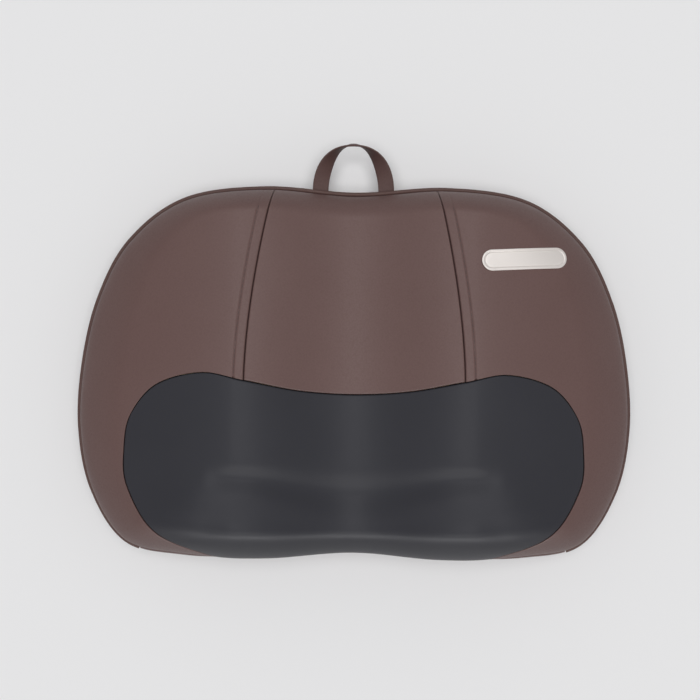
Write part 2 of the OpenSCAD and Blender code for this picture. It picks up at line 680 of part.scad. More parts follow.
// Worm: a right-angle drive thread, its radius following the distance from the crest
worm_root = worm_r - dedendum;
worm_tip = worm_r + addendum;
worm_sides = 24;
worm_per_pitch = 8;
worm_steps = floor(worm_len / pitch * worm_per_pitch);
function thread_r(y, a) =
  let (turn = y / pitch + a / 360 + 0.5)
  let (off = abs(turn - floor(turn) - 0.5) * pitch)
  clamp(worm_r + (off - pitch / 4 - backlash) / flank, worm_root, worm_tip);
module worm() color(brass) difference() {
  tube([for (i = [0 : worm_steps])
    let (y = worm_len * (i / worm_steps - 0.5))
    [for (j = [0 : worm_sides - 1])
      let (a = -360 * j / worm_sides, r = thread_r(y, a))
      [r * cos(a), mech_y + y, motor_z - r * sin(a)]]]);
  motor_tube(shaft_r, mech_y - worm_len, mech_y + worm_len);
}
block_w = 18;
module bearing_block() color(white_plastic) difference() {
  translate([-block_w / 2, block_y, floor_z]) cube([block_w, block_t, motor_z + worm_r - floor_z]);
  motor_tube(shaft_r + bush_t, block_y - 1, block_y + block_t + 1);
}
module worm_bush() color(brass) difference() {
  motor_tube(shaft_r + bush_t, block_y, block_y + block_t);
  motor_tube(shaft_r + run_gap, block_y - 1, block_y + block_t + 1);
}

// Worm wheels on bushes, turning on fixed axles
bush_r = axle_r + 1.5;
rotor_screw_r = 1.2;
rotor_screw_at = hub_r - 2.8;
rotor_screws = 2;
rotor_screw_in = 9;
module gear_plan(turned) {
  half = PI * gear_m / 4 - backlash;
  polygon([for (i = [0 : wheel_teeth - 1])
    for (c = [[-1, -dedendum], [-1, addendum], [1, addendum], [1, -dedendum]])
    let (r = wheel_r + c[1], w = c[0] * (half - c[1] * flank))
    let (a = 360 * (i + turned) / wheel_teeth)
    [r * cos(a) - w * sin(a), r * sin(a) + w * cos(a)]]);
}
module around(count, r)
  for (i = [0 : count - 1]) rotate(360 * i / count) translate([r, 0, 0]) children();
module worm_wheel(side, turned) translate([side * rotor_x, mech_y, 0]) difference() {
  union() {
    translate([0, 0, wheel_z]) linear_extrude(wheel_t) gear_plan(turned);
    translate([0, 0, wheel_z]) cylinder(h = arm_z - wheel_z, r = hub_r);
  }
  translate([0, 0, wheel_z - 1]) cylinder(h = arm_z, r = bush_r);
  around(rotor_screws, rotor_screw_at) translate([0, 0, arm_z - rotor_screw_in - 1])
    cylinder(h = rotor_screw_in + 2, r = rotor_screw_r);
}
module left_worm_wheel() color(white_plastic) worm_wheel(-1, 0.5);
module right_worm_wheel() color(white_plastic) worm_wheel(1, 0);
clip_t = 0.8;
clip_rim = 2.5;
clip_z = arm_z + arm_t + soft_gap;
axle_top = clip_z + 2 * clip_t;
module axle(side) translate([side * rotor_x, mech_y, axle_z]) cylinder(h = axle_top - axle_z, r = axle_r);
module left_axle() color(steel) axle(-1);
module right_axle() color(steel) axle(1);
module axle_clips() color(steel) for (x = [-rotor_x, rotor_x])
  translate([x, mech_y, clip_z]) difference() {
    cylinder(h = clip_t, r = axle_r + clip_rim);
    translate([0, 0, -1]) cylinder(h = clip_t + 2, r = axle_r);
  }
module hub_bush(side) translate([side * rotor_x, mech_y, wheel_z]) difference() {
  cylinder(h = arm_z - wheel_z, r = bush_r);
  translate([0, 0, -1]) cylinder(h = arm_z, r = axle_r + run_gap);
}
module left_hub_bush() color(brass) hub_bush(-1);
module right_hub_bush() color(brass) hub_bush(1);

// Rotor arms with a post for each head, and the screws that hold them
post_head_r = 4;
cap_top_t = 8;
core_h = head_h - cap_top_t;
arm_end_r = 9;
arm_w = 18;
arm_rim = 2;
axle_room = 0.5;
head_screw_r = 1.2;
head_screw_in = 8;
core_play = 0.2;
post_top = core_z + core_h + core_play;
module at_heads() for (y = [-1, 1]) translate([0, y * head_orbit, 0]) children();
module rotor_arm(side) translate([side * rotor_x, mech_y, 0]) difference() {
  union() {
    translate([0, 0, arm_z]) cylinder(h = arm_t, r = hub_r + arm_rim);
    translate([-arm_w / 2, -head_orbit, arm_z]) cube([arm_w, 2 * head_orbit, arm_t]);
    at_heads() translate([0, 0, arm_z]) cylinder(h = arm_t, r = arm_end_r);
    at_heads() translate([0, 0, arm_z + arm_t / 2])
      cylinder(h = post_top - arm_z - arm_t / 2, r = post_head_r);
  }
  translate([0, 0, arm_z - 1]) cylinder(h = arm_t + 2, r = axle_r + axle_room);
  around(rotor_screws, rotor_screw_at) translate([0, 0, arm_z - 1])
    cylinder(h = arm_t + 2, r = rotor_screw_r);
  at_heads() translate([0, 0, post_top - head_screw_in - 1])
    cylinder(h = head_screw_in + 2, r = head_screw_r);
}
module left_rotor_arm() color(black_plastic) rotor_arm(-1);
module right_rotor_arm() color(black_plastic) rotor_arm(1);
rotor_screw_head = 1.2;
rotor_screw_head_r = 2;
module rotor_screw_set(side) translate([side * rotor_x, mech_y, arm_z + arm_t])
  around(rotor_screws, rotor_screw_at) {
    translate([0, 0, -arm_t - rotor_screw_in]) cylinder(h = arm_t + rotor_screw_in, r = rotor_screw_r);
    cylinder(h = rotor_screw_head, r = rotor_screw_head_r);
  }
module left_rotor_screws() color(steel) rotor_screw_set(-1);
module right_rotor_screws() color(steel) rotor_screw_set(1);
washer_r = 6;
washer_t = 1.4;
module head_screw_set(side) translate([side * rotor_x, mech_y, post_top]) at_heads() {
  translate([0, 0, -head_screw_in]) cylinder(h = head_screw_in, r = head_screw_r);
  cylinder(h = washer_t, r = washer_r);
}
module left_head_screws() color(steel) head_screw_set(-1);
module right_head_screws() color(steel) head_screw_set(1);

// Massage heads: a core that turns on its post under a soft domed cap
cap_wall = 3;
core_r = head_d / 2 - cap_wall;
dome_share = 0.63;
dome_r = head_d * dome_share;
module head_core(side, up) translate([side * rotor_x, mech_y + up * head_orbit, core_z]) difference() {
  cylinder(h = core_h, r = core_r);
  translate([0, 0, -1]) cylinder(h = core_h + 2, r = post_head_r + run_gap);
}
module head_cap(side, up) translate([side * rotor_x, mech_y + up * head_orbit, 0]) difference() {
  rotate_extrude() intersection() {
    translate([0, head_top - dome_r]) circle(dome_r);
    translate([0, core_z + core_lift]) square([head_d / 2, head_h]);
  }
  translate([0, 0, core_z - 1]) cylinder(h = core_h + 1, r = core_r);
  translate([0, 0, core_z]) cylinder(h = core_h + 2 * washer_t, r = washer_r + free_gap);
}
module left_upper_core() color(white_plastic) head_core(-1, 1);
module left_lower_core() color(white_plastic) head_core(-1, -1);
module right_upper_core() color(white_plastic) head_core(1, 1);
module right_lower_core() color(white_plastic) head_core(1, -1);
module left_upper_cap() color("dimgray") head_cap(-1, 1);
module left_lower_cap() color("dimgray") head_cap(-1, -1);
module right_upper_cap() color("dimgray") head_cap(1, 1);
module right_lower_cap() color("dimgray") head_cap(1, -1);

// Battery left of the motor, circuit board right of it
cell_z = floor_z + holder_t + cell_r;
cell_x = -rib_w - cell_off - cell_len;
cell_top_y = house_top - wall - cell_top_room - cell_r;
cell_ys = [cell_top_y, cell_top_y - 2 * cell_r - cell_gap];
module battery_cells() color("steelblue") for (y = cell_ys)
  translate([cell_x, y, cell_z]) rotate([0, 90, 0]) cylinder(h = cell_len, r = cell_r);
module battery_holder() color(black_plastic) difference() {
  translate([cell_x - holder_end, cell_ys[1] - cell_r - holder_side, floor_z])
    cube([cell_len + 2 * holder_end, cell_span + 2 * holder_side, holder_h]);
  translate([cell_x, cell_ys[1] - cell_r - eps, floor_z + holder_t])
    cube([cell_len, cell_span + 2 * eps, 2 * holder_h]);
}
module circuit_board() color("darkgreen")
  translate([board_x, board_y, board_z]) cube([board_w, board_l, board_t]);
module board_components() color(black_plastic) translate([board_x, board_y, board_z + board_t]) {
  translate([10, 12, 0]) cube([9, 9, 1.6]);
  translate([26, 20, 0]) cube([12, 6, 3]);
  translate([46, 8, 0]) cylinder(h = 9, r = 4);
  translate([24, 5, 0]) cube([8, 8, 4]);
  translate([3, 22, 0]) cube([5, 7, 5]);
}

// Leads: round tubes of one size through hand-set points
lead_sides = 8;
function lead_dir(points, i) = unit(points[min(i + 1, len(points) - 1)] - points[max(i - 1, 0)]);
lead_up = [0.01, 0.01, 1];
module lead(points, r) tube([for (i = [0 : len(points) - 1])
  let (d = lead_dir(points, i), a = unit(cross(d, lead_up)), b = cross(d, a))
  [for (j = [0 : lead_sides - 1])
    let (turn = 360 * j / lead_sides)
    points[i] + r * (a * cos(turn) + b * sin(turn))]]);
wire_r = 1;
wire_y = can_end + 7.5;
module internal_wiring() color("firebrick") {
  lead([[terminal_x, can_end + cap_t + soft_gap, motor_z], [terminal_x, can_end + 5.5, motor_z - 1],
        [terminal_x + 1, wire_y, motor_z - 4],
        [13, wire_y, board_z + 7], [board_x - 5, wire_y - 2, board_z + 5],
        [board_x - 1.5, board_y + 26, board_z + 3.4],
        [board_x + 2.7, board_y + 25.5, board_z + 3.4]], wire_r);
  lead([[cell_x + cell_len + 3.4, wire_y, floor_z + 4], [-rib_w, wire_y + 1, floor_z + 4],
        [0, wire_y + 1, floor_z + 4], [board_x - 8, wire_y, floor_z + 4],
        [board_x - 3, board_y + 29, board_z - 1], [board_x + 1.4, board_y + 28, board_z - 1.3]], wire_r);
}
cable_x = board_x + board_w / 2;
module control_cable() color(black_plastic) lead([
  [cable_x, board_y - 2.5, cable_z + 3.5], [cable_x + 6, board_y - 6, cable_z + 1.5],
  [cable_x + 14, pod_y + 4, cable_z], [cable_x + 22, pod_y, cable_z],
  [house_x, pod_y, cable_z], [house_x + 30, pod_y, cable_z], [pod_x - soft_gap, pod_y, cable_z]], cable_r);

// Control panel: bezel, buttons, port and lens in front of a small box with its board
pod_wall = 1.5;
switch_x = pod_x + pod_wall + 1;
switch_t = 1.6;
tact_h = 3.4;
tact_top = switch_x + switch_t + tact_h;
module along_x(x, y, z, h, r) translate([x, y, z]) rotate([0, 90, 0]) cylinder(h = h, r = r);
module slot_x(x, y, z, h, w, t) {
  translate([x, y - (w - t) / 2, z - t / 2]) cube([h, w - t, t]);
  for (s = [-1, 1]) along_x(x, y + s * (w - t) / 2, z, h, t / 2);
}
port_w = 9.2;
port_h = 3.2;
port_depth = 7;
port_gap = 0.4;
tongue_w = 6.6;
tongue_t = 0.7;
lens_y = pod_y + 25;
lens_r = 1.2;
button_gap = 0.15;
button_proud = 0.6;
button_rim = 1;
flange_t = 1.5;
flange_gap = 0.1;
stem_r = 2;
stem_gap = 0.3;
board_in = 2;
tact_w = 6;
module control_housing() color(black_plastic) difference() {
  translate([pod_x, pod_y - pod_l / 2, pod_z]) cube([pod_depth, pod_l, pod_h]);
  translate([pod_x + pod_wall, pod_y - pod_l / 2 + pod_wall, pod_z + pod_wall])
    cube([pod_depth, pod_l - 2 * pod_wall, pod_h - 2 * pod_wall]);
}
module control_bezel() color(black_plastic) difference() {
  translate([bezel_x, pod_y - pod_l / 2, pod_z]) cube([bezel_t, pod_l, pod_h]);
  for (y = button_y) along_x(bezel_x - 1, y, pod_mid_z, bezel_t + 2, button_d / 2 + button_gap);
  along_x(bezel_x - 1, lens_y, pod_mid_z, bezel_t + 2, lens_r + run_gap);
  slot_x(bezel_x - 1, port_y, pod_mid_z, bezel_t + 2, port_w + port_gap, port_h + port_gap);
}
module switch_board() color("darkgreen")
  translate([switch_x, pod_y - pod_l / 2 + board_in, pod_z + board_in])
    cube([switch_t, pod_l - 2 * board_in, pod_h - 2 * board_in]);
module tact_switches() color(black_plastic) for (y = button_y)
  translate([switch_x + switch_t, y - tact_w / 2, pod_mid_z - tact_w / 2]) cube([tact_h, tact_w, tact_w]);
flange_x = bezel_x - flange_gap - flange_t;
stem_x = tact_top + button_travel + stem_gap;
module push_button(y) {
  along_x(flange_x + flange_t / 2, y, pod_mid_z, bezel_x + bezel_t + button_proud - flange_x - flange_t / 2,
          button_d / 2);
  along_x(flange_x, y, pod_mid_z, flange_t, button_d / 2 + button_rim);
  along_x(stem_x, y, pod_mid_z, flange_x + flange_t / 2 - stem_x, stem_r);
}
module power_button() color(white_plastic) push_button(button_y[0]);
module heat_button() color(white_plastic) push_button(button_y[1]);
port_rim = 1;
module charge_port() color(steel) difference() {
  translate([switch_x + switch_t, port_y - port_w / 2 - port_rim, pod_mid_z - port_h / 2 - port_rim])
    cube([bezel_x - flange_gap - switch_x - switch_t, port_w + 2 * port_rim, port_h + 2 * port_rim]);
  difference() {
    slot_x(bezel_x - port_depth, port_y, pod_mid_z, port_depth + 1, port_w, port_h);
    translate([bezel_x - port_depth - 1, port_y - tongue_w / 2, pod_mid_z - tongue_t / 2])
      cube([port_depth, tongue_w, tongue_t]);
  }
}
lens_in = 2;
module status_lens() color("white")
  along_x(bezel_x - lens_in, lens_y, pod_mid_z, bezel_t + lens_in + flange_gap, lens_r);

center_cover();
left_wing_cover();
right_wing_cover();
massage_pad();
side_band();
bottom_band();
edge_piping();
back_panel();
badge();
carry_loop();
left_foam();
right_foam();
upper_foam();
center_foam();
lower_housing();
upper_housing();
housing_screws();
motor_can();
motor_end_cap();
motor_shaft();
motor_clamp();
clamp_screws();
worm();
bearing_block();
worm_bush();
left_worm_wheel();
right_worm_wheel();
left_axle();
right_axle();
axle_clips();
left_hub_bush();
right_hub_bush();
left_rotor_arm();
right_rotor_arm();
left_rotor_screws();
right_rotor_screws();
left_head_screws();
right_head_screws();
left_upper_core();
left_lower_core();
right_upper_core();
right_lower_core();
left_upper_cap();
left_lower_cap();
right_upper_cap();
right_lower_cap();
battery_cells();
battery_holder();
circuit_board();
board_components();
control_cable();
control_bezel();
control_housing();
switch_board();
tact_switches();
power_button();
heat_button();
charge_port();
status_lens();
internal_wiring();
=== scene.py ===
"""Visual model of a massage cushion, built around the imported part.

Sewn leatherette covers, a stretch pad over the rotors, piping, side bands, a carry loop,
a bare badge and a control panel, in a pale studio. Lengths in the classes are
millimetres. Meshes are in metres, in the part's own frame: the cushion lies on its back,
+Z is the massage side and +Y the edge with the carry loop.
"""

import json
import logging
from dataclasses import dataclass, field
from enum import Enum
from math import pi, radians

import bpy
import numpy as np
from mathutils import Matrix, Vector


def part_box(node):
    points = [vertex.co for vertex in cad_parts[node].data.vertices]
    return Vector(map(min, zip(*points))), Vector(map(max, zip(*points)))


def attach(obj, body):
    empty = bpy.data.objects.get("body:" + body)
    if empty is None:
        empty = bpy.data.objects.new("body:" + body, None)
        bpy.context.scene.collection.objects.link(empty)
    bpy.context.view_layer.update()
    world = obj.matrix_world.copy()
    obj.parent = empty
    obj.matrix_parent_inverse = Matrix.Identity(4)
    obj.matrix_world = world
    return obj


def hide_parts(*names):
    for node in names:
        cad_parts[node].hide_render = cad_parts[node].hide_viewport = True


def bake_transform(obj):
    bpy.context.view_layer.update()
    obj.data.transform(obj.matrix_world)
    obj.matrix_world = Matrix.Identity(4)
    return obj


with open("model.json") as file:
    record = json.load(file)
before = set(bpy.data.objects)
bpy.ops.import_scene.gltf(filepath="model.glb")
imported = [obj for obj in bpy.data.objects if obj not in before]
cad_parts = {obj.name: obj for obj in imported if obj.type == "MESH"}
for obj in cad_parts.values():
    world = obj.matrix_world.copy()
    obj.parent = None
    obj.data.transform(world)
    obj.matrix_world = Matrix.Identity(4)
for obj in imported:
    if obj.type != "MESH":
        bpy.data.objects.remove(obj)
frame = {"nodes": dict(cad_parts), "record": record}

LOG = logging.getLogger("cushion")
MM = 0.001
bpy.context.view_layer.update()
Array = np.ndarray
Number = np.ndarray | float


class Body(Enum):
    """The rigid bodies of the part that new pieces ride on."""

    CUSHION = "cushion"
    LOOP = "loop"
    POWER_KEY = "power_key"
    HEAT_KEY = "heat_key"


class Pattern(Enum):
    """The small-scale structure of a surface."""

    PEBBLE = "pebbled grain"
    KNIT = "knitted loops"
    WEAVE = "plain weave"
    MOULDED = "moulded grain"
    BRUSHED = "brushed lines"
    PORES = "open pores"


# Numbers and curves


def mix(a: Number, b: Number, t: Number) -> Number:
    """Straight blend from a at t 0 to b at t 1."""
    return a + (b - a) * t


def smooth(t: Number) -> Array:
    """S-shaped step from 0 to 1: 3 t squared less 2 t cubed."""
    c = np.clip(t, 0, 1)
    return c * c * (3 - 2 * c)


def bell(x: Array, at: Number, wide: Number) -> Array:
    """Bell curve of height 1: e to the minus square of the distance in widths."""
    return np.exp(-(((x - at) / wide) ** 2))


def hump(s: Array, power: float) -> Array:
    """Hump of height 1 over 0 to 1: s to the power times 1 - s squared, over its largest value."""
    peak = power / (power + 2)
    return s**power * (1 - s) ** 2 / (peak**power * (1 - peak) ** 2)


def unit(v: Array) -> Array:
    """Vectors along the last axis, at length 1."""
    return v / np.linalg.norm(v, axis=-1, keepdims=True)


def curve(points: Array, index: Array, t: Array) -> Array:
    """Smooth curve through points: a cubic whose slope at each point joins its neighbours.

    Args:
        points: The points that the curve passes.
        index: The point each stretch starts at, with two more after it and one before it.
        t: Share of the stretch, from 0 to 1.

    Returns:
        One point for each index and t.
    """
    a, b, c, d = (points[(index + i) % len(points)] for i in (-1, 0, 1, 2))
    t = t[..., None]
    square, cube = 2 * a - 5 * b + 4 * c - d, 3 * b - a - 3 * c + d
    return b + ((c - a) * t + square * t**2 + cube * t**3) / 2


def graded(count: int, share: float = 0.85) -> Array:
    """Steps from 0 to 1, closer at both ends: a straight run blended with a half cosine wave.

    Args:
        count: Number of steps.
        share: How much of the cosine wave is in the blend.

    Returns:
        The count + 1 values.
    """
    t = np.linspace(0, 1, count + 1)
    return mix(t, (1 - np.cos(pi * t)) / 2, share)


def lift(plan: Array, z: Number) -> Array:
    """Plan points with a height, as points in space."""
    return np.concatenate([plan, np.broadcast_to(z, plan.shape[:-1])[..., None]], axis=-1)


def sunk(points: Array, depth: Number) -> Array:
    """Points moved down by a depth."""
    return points - lift(np.zeros((*points.shape[:-1], 2)), depth)


# Meshes


@dataclass
class Shell:
    """A closed surface: points in millimetres, faces, and a map of the surface if it has one."""

    points: Array
    faces: list[Array]
    chart: Array | None = None

    def volume(self) -> float:
        """Signed volume: the sum of the tetrahedra from the origin to each triangle of a fan.

        Returns:
            Cubic millimetres, below 0 where the faces point inwards.
        """
        total = 0.0
        for block in self.faces:
            p = self.points[block]
            for i in range(1, block.shape[1] - 1):
                total += np.einsum("ij,ij->i", p[:, 0], np.cross(p[:, i], p[:, i + 1])).sum() / 6
        return total

    def outward(self) -> "Shell":
        """Turns the faces outwards.

        Returns:
            The shell itself.
        """
        if self.volume() < 0:
            self.faces = [block[:, ::-1] for block in self.faces]
        return self


def grid_faces(index: Array) -> Array:
    """Four-sided faces between the rows and columns of a grid of point numbers."""
    corners = [index[:-1, :-1], index[:-1, 1:], index[1:, 1:], index[1:, :-1]]
    return np.stack(corners, axis=-1).reshape(-1, 4)


def slab(top: Array, bottom: Array, chart: Array | None = None) -> Shell:
    """Closed sheet between two grids, with a wall along its four edges.

    Args:
        top: Grid of points on the outside.
        bottom: Grid of points on the inside, of the same size.
        chart: Distances along the surface at the top grid's points.

    Returns:
        The closed shell.
    """
    rows, cols = top.shape[:2]
    count = rows * cols
    upper = np.arange(count).reshape(rows, cols)
    rim = np.concatenate([upper[0, :-1], upper[:-1, -1], upper[-1, :0:-1], upper[:0:-1, 0]])
    after = np.roll(rim, -1)
    wall = np.stack([rim + count, after + count, after, rim], axis=-1)
    points = np.concatenate([top.reshape(-1, 3), bottom.reshape(-1, 3)])
    faces = [grid_faces(upper), grid_faces(upper + count)[:, ::-1], wall]
    both = None if chart is None else np.concatenate([chart.reshape(-1, 2)] * 2)
    return Shell(points, [np.concatenate(faces)], both).outward()


def tube(rings: Array) -> Shell:
    """Closed tube through rings of points, with a fan of triangles over each end.

    Args:
        rings: Rings by points by three numbers.

    Returns:
        The closed shell.
    """
    count, sides = rings.shape[:2]
    index = np.arange(count * sides).reshape(count, sides)
    around = np.concatenate([index, index[:, :1]], axis=1)
    ends = rings[[0, -1]].mean(axis=1)
    poles = count * sides + np.arange(2)
    after = np.roll(index, -1, axis=1)
    first = np.stack([after[0], index[0], np.full(sides, poles[0])], axis=-1)
    last = np.stack([index[-1], after[-1], np.full(sides, poles[1])], axis=-1)
    points = np.concatenate([rings.reshape(-1, 3), ends])
    return Shell(points, [grid_faces(around), np.concatenate([first, last])]).outward()


def round_tube(path: Array, radius: Number, sides: int = 10) -> Array:
    """Rings of a round cord: circles square to the path.

    Args:
        path: Points along the middle of the cord.
        radius: The cord's radius, one number or one for each point.
        sides: Points round each ring.

    Returns:
        The rings for a tube.
    """
    # Nearly upright, so that no path in this model runs along it
    upright = np.array([0.013, 0.021, 1.0])
    along = unit(np.gradient(path, axis=0))
    side = unit(np.cross(along, upright))
    up = np.cross(along, side)
    turn = np.linspace(0, 2 * pi, sides, endpoint=False)
    ring = side[:, None] * np.cos(turn)[:, None] + up[:, None] * np.sin(turn)[:, None]
    return path[:, None] + np.broadcast_to(radius, len(path))[:, None, None] * ring


def joined(shells: list[Shell]) -> Shell:
    """Several shells as the shells of one piece.

    Args:
        shells: The shells, none of them charted.

    Returns:
        One shell with all their points and faces.
    """
    starts = np.cumsum([0] + [len(s.points) for s in shells[:-1]])
    faces = [block + start for s, start in zip(shells, starts) for block in s.faces]
    return Shell(np.concatenate([s.points for s in shells]), faces)


def mirrored(shell: Shell) -> Shell:
    """The shell's mirror image across the cushion's middle, with its faces outwards."""
    return Shell(shell.points * (-1, 1, 1), list(shell.faces)).outward()


def arc_chart(grid: Array) -> Array:
    """Distances along a grid's rows and columns, so that a cloth's pattern follows the surface.

    Args:
        grid: Rows by columns by three numbers.

    Returns:
        Distance across from the middle column and along from the first row.
    """
    across = np.linalg.norm(np.diff(grid, axis=1), axis=-1).cumsum(axis=1)
    across = np.concatenate([np.zeros((len(grid), 1)), across], axis=1)
    along = np.linalg.norm(np.diff(grid, axis=0), axis=-1).cumsum(axis=0)
    along = np.concatenate([np.zeros((1, grid.shape[1])), along], axis=0)
    middle = grid.shape[1] // 2
    return np.stack([across - across[:, middle : middle + 1], along], axis=-1)


@dataclass
class Piece:
    """A visible piece: its name, material slot, the part's nodes that it stands for, and its body."""

    name: str
    slot: str
    replaces: tuple[str, ...] = ()
    body: Body = Body.CUSHION
    sharp_deg: float = 40.0

    def make(self, shell: Shell, finish: "Finish") -> bpy.types.Object:
        """Puts a shell into the scene and dresses it.

        Args:
            shell: The closed surface, in millimetres.
            finish: The finish of its surface.

        Returns:
            The new object, not yet on its body.
        """
        mesh = bpy.data.meshes.new(self.name)
        faces = [face for block in shell.faces for face in block.tolist()]
        mesh.from_pydata((shell.points * MM).tolist(), [], faces)
        if shell.chart is not None:
            layer = mesh.uv_layers.new(name="surface")
            corner = np.empty(len(mesh.loops), dtype=np.int32)
            mesh.loops.foreach_get("vertex_index", corner)
            layer.data.foreach_set("uv", (shell.chart[corner] * MM).astype(np.float32).ravel())
        mesh.shade_smooth()
        mesh.set_sharp_from_angle(angle=radians(self.sharp_deg))
        made = bpy.data.objects.new(self.name, mesh)
        bpy.context.scene.collection.objects.link(made)
        mesh.materials.append(finish.material())
        if self.replaces:
            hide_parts(*self.replaces)
        return made

    def place(self, shell: Shell, finish: "Finish") -> bpy.types.Object:
        """Makes the piece and lets it ride on its body."""
        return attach(self.make(shell, finish), self.body.value)


def cut_box(target: bpy.types.Object, low: Array, high: Array) -> None:
    """Cuts a box out of a piece, as a sewn-in panel's opening is cut.

    Args:
        target: The piece to cut.
        low: Lowest corner in millimetres.
        high: Highest corner in millimetres.
    """
    corner = np.array([[x, y, z] for z in (0, 1) for y in (0, 1) for x in (0, 1)])
    sides = [[0, 2, 3, 1], [4, 5, 7, 6], [0, 1, 5, 4], [2, 6, 7, 3], [0, 4, 6, 2], [1, 3, 7, 5]]
    mesh = bpy.data.meshes.new("opening")
    mesh.from_pydata((mix(low, high, corner) * MM).tolist(), [], sides)
    cutter = bpy.data.objects.new("opening", mesh)
    bpy.context.scene.collection.objects.link(cutter)
    modifier = target.modifiers.new("opening", "BOOLEAN")
    modifier.operation = "DIFFERENCE"
    modifier.solver = "EXACT"
    modifier.object = cutter
    graph = bpy.context.evaluated_depsgraph_get()
    result = bpy.data.meshes.new_from_object(target.evaluated_get(graph))
    target.modifiers.clear()
    target.data = result
    result.name = target.name
    bpy.data.objects.remove(cutter)


def box_mm(node: str) -> Array:
    """Lowest and highest corner of one of the part's nodes, in millimetres."""
    return np.array([list(corner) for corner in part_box(node)]) / MM


def panel_room(gap: float, reach: float = 20.0) -> Array:
    """Corners of the space that the control panel takes in the side of the cushion.

    Args:
        gap: Clearance round the panel.
        reach: How far the space goes on outside it.

    Returns:
        The lowest and the highest corner.
    """
    boxes = np.stack([box_mm("control_housing"), box_mm("control_bezel")])
    return np.array([boxes[:, 0].min(axis=0) - gap, boxes[:, 1].max(axis=0) + (reach, gap, gap)])


# Finishes


def linear(hex_colour: str) -> tuple[float, float, float, float]:
    """Turns an sRGB hex colour to the linear colour that shaders take.

    Args:
        hex_colour: Six hex digits.

    Returns:
        Red, green, blue and an alpha of 1.
    """
    raw = np.array([int(hex_colour[i : i + 2], 16) for i in (0, 2, 4)]) / 255
    value = np.where(raw <= 0.04045, raw / 12.92, ((raw + 0.055) / 1.055) ** 2.4)
    return (*value.tolist(), 1.0)


def add_node(
    tree: bpy.types.NodeTree,
    kind: str,
    settings: dict[str, object] | None = None,
    links: dict[str | int, bpy.types.NodeSocket] | None = None,
) -> bpy.types.Node:
    """Adds a node, sets its properties and inputs, and links its inputs.

    Args:
        tree: The node tree.
        kind: Blender's name for the kind of node.
        settings: Property or input names and their values.
        links: Input names or numbers and the sockets that feed them.

    Returns:
        The new node.
    """
    node = tree.nodes.new(kind)
    for name, value in (settings or {}).items():
        if name in node.bl_rna.properties:
            setattr(node, name, value)
        else:
            node.inputs[name].default_value = value
    for name, source in (links or {}).items():
        tree.links.new(source, node.inputs[name])
    return node


